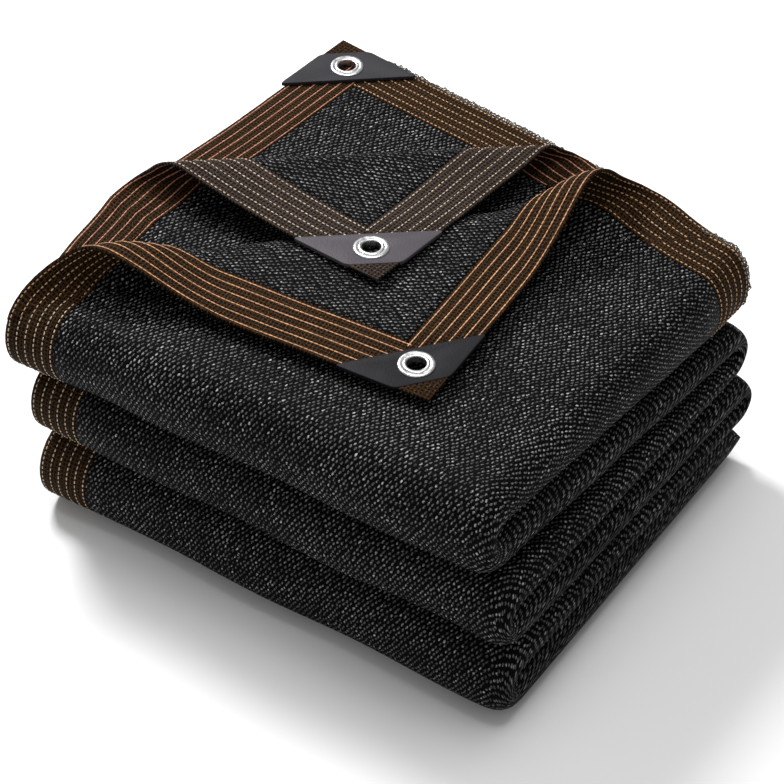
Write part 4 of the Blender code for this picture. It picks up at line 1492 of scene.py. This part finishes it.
@dataclass
class EdgeSewing:
    """All the sewing on the tape: on the pack's edges and on both peeled corners."""

    pack: PackShape
    tape_thick: float = 0.0018
    steps: int = 90
    run_steps: int = 160
    turn_steps: int = 30
    fold_steps: int = 40
    end_steps: int = 200
    end_reach: float = 1.21
    side_reach: float = 1.08
    inner_turn: float = math.pi * 0.8
    leave: float = 0.80
    hidden: float = 0.010
    longest: float = 0.6
    halvings: int = 30

    def flap_rows(self, sewing: Sewing, shape: FlapShape, inner: bool) -> None:
        """Sew both edges of a peeled corner on one of its faces.

        Args:
            sewing: The sewing that gets the rows.
            shape: The peeled corner.
            inner: Whether to sew the face inside the roll, from the pack to the crest, instead of the
                outer one, from the fold to the patch.
        """
        for offset in sewing.across():
            for edge in ("side", "end"):
                near = self.flap_length(shape, edge, offset, self.inner_turn if inner else -1.0)
                far = max(PATCH_LEG - offset, offset)
                if inner:
                    far, near = near, self.flap_length(shape, edge, offset, -1.0)

                def spot(share: float, shift: float = 0.0) -> tuple[float, float]:
                    """Return the place in the cut at a share of the row, or beside it."""
                    return cut_spot(edge, offset + shift, mix(near, far, share))

                sewing.add_row(lambda share: shape.point(*spot(share)),
                               lambda share: shape.point(*spot(share, BESIDE)), self.steps,
                               lambda share: shape.outward(*spot(share)) * (-1.0 if inner else 1.0))

    def flap_length(self, shape: FlapShape, edge: str, offset: float, angle: float) -> float:
        """Return how far along its edge a row meets an angle of the roll.

        Args:
            shape: The peeled corner.
            edge: Either side or end.
            offset: The row's distance from that edge.
            angle: Angle of the roll, or a negative value for where the cloth leaves the pack.

        Returns:
            The distance from the corner.
        """
        near, far = 0.0, self.longest
        for _ in range(self.halvings):
            middle = (near + far) / 2.0
            u, w = cut_spot(edge, offset, middle)
            goal = shape.radius(u, w) * angle if angle >= 0.0 else -shape.ramp(u, w) * self.leave
            near, far = (middle, far) if shape.past_fold(u, w) > goal else (near, middle)
        return near

    def pack_rows(self, sewing: Sewing, stops: Sequence[Station], ply: float) -> None:
        """Sew the left edge of a ply along some of its stations.

        Args:
            sewing: The sewing that gets the rows.
            stops: The stations in order.
            ply: Place of the ply in its layer.
        """
        count = len(stops) - 1

        def spot(share: float, level: float, inset: float) -> Vector:
            """Return a place on the left edge at a share of the stations."""
            return self.pack.point(stops[round(share * count)], 0.0, level, inset)

        def facing(share: float) -> Vector:
            """Return the way from the middle of the layer to the ply."""
            return spot(share, ply, TAPE_WIDTH / 2.0) - spot(share, 0.0, TAPE_WIDTH / 2.0)

        for offset in sewing.across():
            sewing.add_row(lambda share: spot(share, ply, offset),
                           lambda share: spot(share, ply, offset + BESIDE), count, facing)

    def keep(self, sewing: Sewing, before: FlapShape | None, after: FlapShape | None) -> None:
        """Keep the parts of the rows that lie between two peeled corners' folds.

        Args:
            sewing: The sewing whose rows are cut.
            before: The corner whose cloth must have been left, or None.
            after: The corner whose cloth the rows lie on, or None.
        """
        kept = []
        for row in sewing.rows:
            part = SewnRow([], [])
            for point, lift in zip(row.points, row.lifts):
                if self.shows(point, before, after):
                    part.points.append(point)
                    part.lifts.append(lift)
            if len(part.points) > 2:
                kept.append(part)
        sewing.rows[:] = kept

    def shows(self, point: Vector, before: FlapShape | None, after: FlapShape | None) -> bool:
        """Return whether a place on the pack lies behind one fold and in front of another."""
        if before is not None and before.fold_spot(point)[1] <= self.hidden:
            return False
        if after is None:
            return True
        along, past = after.fold_spot(point)
        return past < -after.ramp_along(along) * self.leave

    def end_rows(self, sewing: Sewing) -> None:
        """Sew the free end of the top layer and round its closed side."""

        def facing(share: float) -> Vector:
            """Return up, or right where the row runs down the side."""
            on_top = mix(0.0, self.end_reach, share) < self.side_reach
            return Vector((0.5, 0.0, 1.0)) if on_top else Vector((1.0, 0.0, 0.0))

        for offset in sewing.across():
            stop, beside = (Station("run", 0, 1.0, place) for place in (offset, offset + BESIDE))
            sewing.add_row(lambda share: end_point(self.pack, stop, mix(0.0, self.end_reach, share), 1.0),
                           lambda share: end_point(self.pack, beside, mix(0.0, self.end_reach, share), 1.0),
                           self.end_steps, facing)

    def build(self) -> None:
        """Build every run of sewing."""
        top, middle = FLAPS["top"], FLAPS["middle"]
        for name, finish, side, shape, inner in (
                ("peeled_top", ORANGE, Side.NEEDLE, top, False),
                ("peeled_middle", CREAM, Side.BOBBIN, middle, False),
                ("inside_top", TAN, Side.BOBBIN, top, True),
                ("inside_middle", ROSE, Side.NEEDLE, middle, True)):
            band = Sewing(f"sewing_{name}", finish, side)
            self.flap_rows(band, shape, inner)
            band.build(self.tape_thick / 2.0)
        runs = self.pack.stations(0.0, self.run_steps, self.turn_steps)
        upper = [stop for stop in runs if stop.kind == "run" and stop.layer == 0]
        for name, finish, side, before, after in (
                ("side_front", CREAM, Side.BOBBIN, None, top),
                ("side_between", ROSE, Side.NEEDLE, top, middle),
                ("side_back", ROSE, Side.NEEDLE, middle, None),
                ("end_right", TAN, Side.BOBBIN, None, top),
                ("end_between", ROSE, Side.NEEDLE, top, middle),
                ("end_back", TAN, Side.BOBBIN, middle, None)):
            band = Sewing(f"sewing_{name}", finish, side)
            if name.startswith("side"):
                self.pack_rows(band, upper, 1.0)
            else:
                self.end_rows(band)
            self.keep(band, before, after)
            if band.rows:
                band.build(0.0)
        folds = Sewing("sewing_side_folds", CREAM, Side.BOBBIN)
        for layer, ply in ((0, 1.0), (2, 1.0), (4, 1.0), (1, -1.0), (3, -1.0)):
            shares = [step / self.fold_steps for step in range(self.fold_steps + 1)]
            self.pack_rows(folds, [Station("turn", layer, share) for share in shares], ply)
        folds.build(0.0)


@dataclass
class RoughSelvage:
    """Short loops of yarn that stand out of the free end's outer edge."""

    pack: PackShape
    spacing: float = 0.0009
    size: float = 0.0036
    yarn: float = 0.00038
    levels: tuple[float, ...] = (1.0, 0.86)
    reach: float = 1.17
    steps: int = 120
    lift: tuple[float, float, float] = (0.1, 1.0, 0.4)

    def edges(self) -> list[SewnRow]:
        """Return the outer edges that show their loops, with the way the loops point."""
        stop = Station("run", 0, 1.0)
        reaches = [mix(0.0, self.reach, step / self.steps) for step in range(self.steps + 1)]
        lifts = [Vector(self.lift).normalized()] * len(reaches)
        return [SewnRow([end_point(self.pack, stop, reach, level) for reach in reaches], lifts)
                for level in self.levels]

    def build(self) -> None:
        """Stand the loops along the edges."""
        sizes = {"Spacing": self.spacing, "Size": self.size, "Yarn": self.yarn}
        YARN_LOOPS.set_out("rough_selvage", path_mesh("selvage_edges", self.edges(), 0.0), sizes, SELVAGE)


@dataclass
class Studio:
    """Camera, soft lights and a pale floor."""

    azimuth: float = math.radians(34.0)
    elevation: float = math.radians(41.0)
    field_of_view: float = math.radians(18.0)
    camera_place: tuple[float, float, float] = (0.8189, -0.8156, 1.0798)
    aim: tuple[float, float, float] = (0.0, 0.0, 0.08)
    sky_strength: float = 0.38
    floor_size: float = 6.0
    floor_height: float = -0.0005

    def camera(self) -> None:
        """Place the camera at the photograph's angle."""
        across = Vector((math.cos(self.azimuth), math.sin(self.azimuth), 0.0))
        back = Vector((math.sin(self.azimuth) * math.cos(self.elevation),
                       -math.cos(self.azimuth) * math.cos(self.elevation), math.sin(self.elevation)))
        lens = bpy.data.cameras.new("photo_camera")
        lens.sensor_fit = "HORIZONTAL"
        lens.angle = self.field_of_view
        lens.clip_start, lens.clip_end = 0.05, 50.0
        holder = bpy.data.objects.new("photo_camera", lens)
        holder.matrix_world = Matrix((across, back.cross(across), back)).transposed().to_4x4()
        holder.location = Vector(self.camera_place) - ORIGIN
        bpy.context.scene.collection.objects.link(holder)
        bpy.context.scene.camera = holder

    def light(self, name: str, place: tuple[float, float, float], size: float, power: float) -> None:
        """Hang a square soft light that looks at the pack."""
        lamp = bpy.data.lights.new(name, "AREA")
        lamp.size = size
        lamp.energy = power
        holder = bpy.data.objects.new(name, lamp)
        holder.location = place
        aim = Vector(self.aim) - Vector(place)
        holder.rotation_euler = aim.to_track_quat("-Z", "Y").to_euler()
        bpy.context.scene.collection.objects.link(holder)

    def build(self) -> None:
        """Set up the camera, the lights, the world and the floor."""
        self.camera()
        self.light("key_light", (-1.4, 0.6, 1.9), 0.6, 62.0)
        self.light("front_light", (0.0, -2.2, 1.1), 1.6, 4.5)
        self.light("top_light", (0.1, 0.1, 2.4), 1.2, 30.0)
        world = bpy.data.worlds.new("pale_world")
        world.use_nodes = True
        sky = world.node_tree.nodes["Background"]
        sky.inputs["Color"].default_value = (1.0, 1.0, 1.0, 1.0)
        sky.inputs["Strength"].default_value = self.sky_strength
        bpy.context.scene.world = world
        bpy.context.scene.view_settings.view_transform = "Standard"
        shape = bmesh.new()
        bmesh.ops.create_grid(shape, x_segments=1, y_segments=1, size=self.floor_size)
        floor = new_piece("pale_floor", made_mesh(shape, "pale_floor"), FLOOR)
        floor.location.z = self.floor_height


def main() -> None:
    """Dress the frame, piece by piece."""
    noise.seed_set(RUMPLE_SEED)
    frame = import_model()
    LOG.info("frame has %d nodes", len(frame["nodes"]))
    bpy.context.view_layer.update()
    Studio().build()
    pack = PackShape()
    FoldedPack(pack).build()
    tapes = {"top": BROWN_TAPE, "middle": GREY_TAPE}
    for name, shape in FLAPS.items():
        PeeledCorner(name, shape, tapes[name]).build()
        CornerFitting(name, shape.point, tapes[name]).build()
    CornerFitting("back", BackCorner().point, BROWN_TAPE).build()
    EdgeSewing(pack).build()
    RoughSelvage(pack).build()


if __name__ == "__main__":
    logging.basicConfig(level=logging.INFO)
    main()
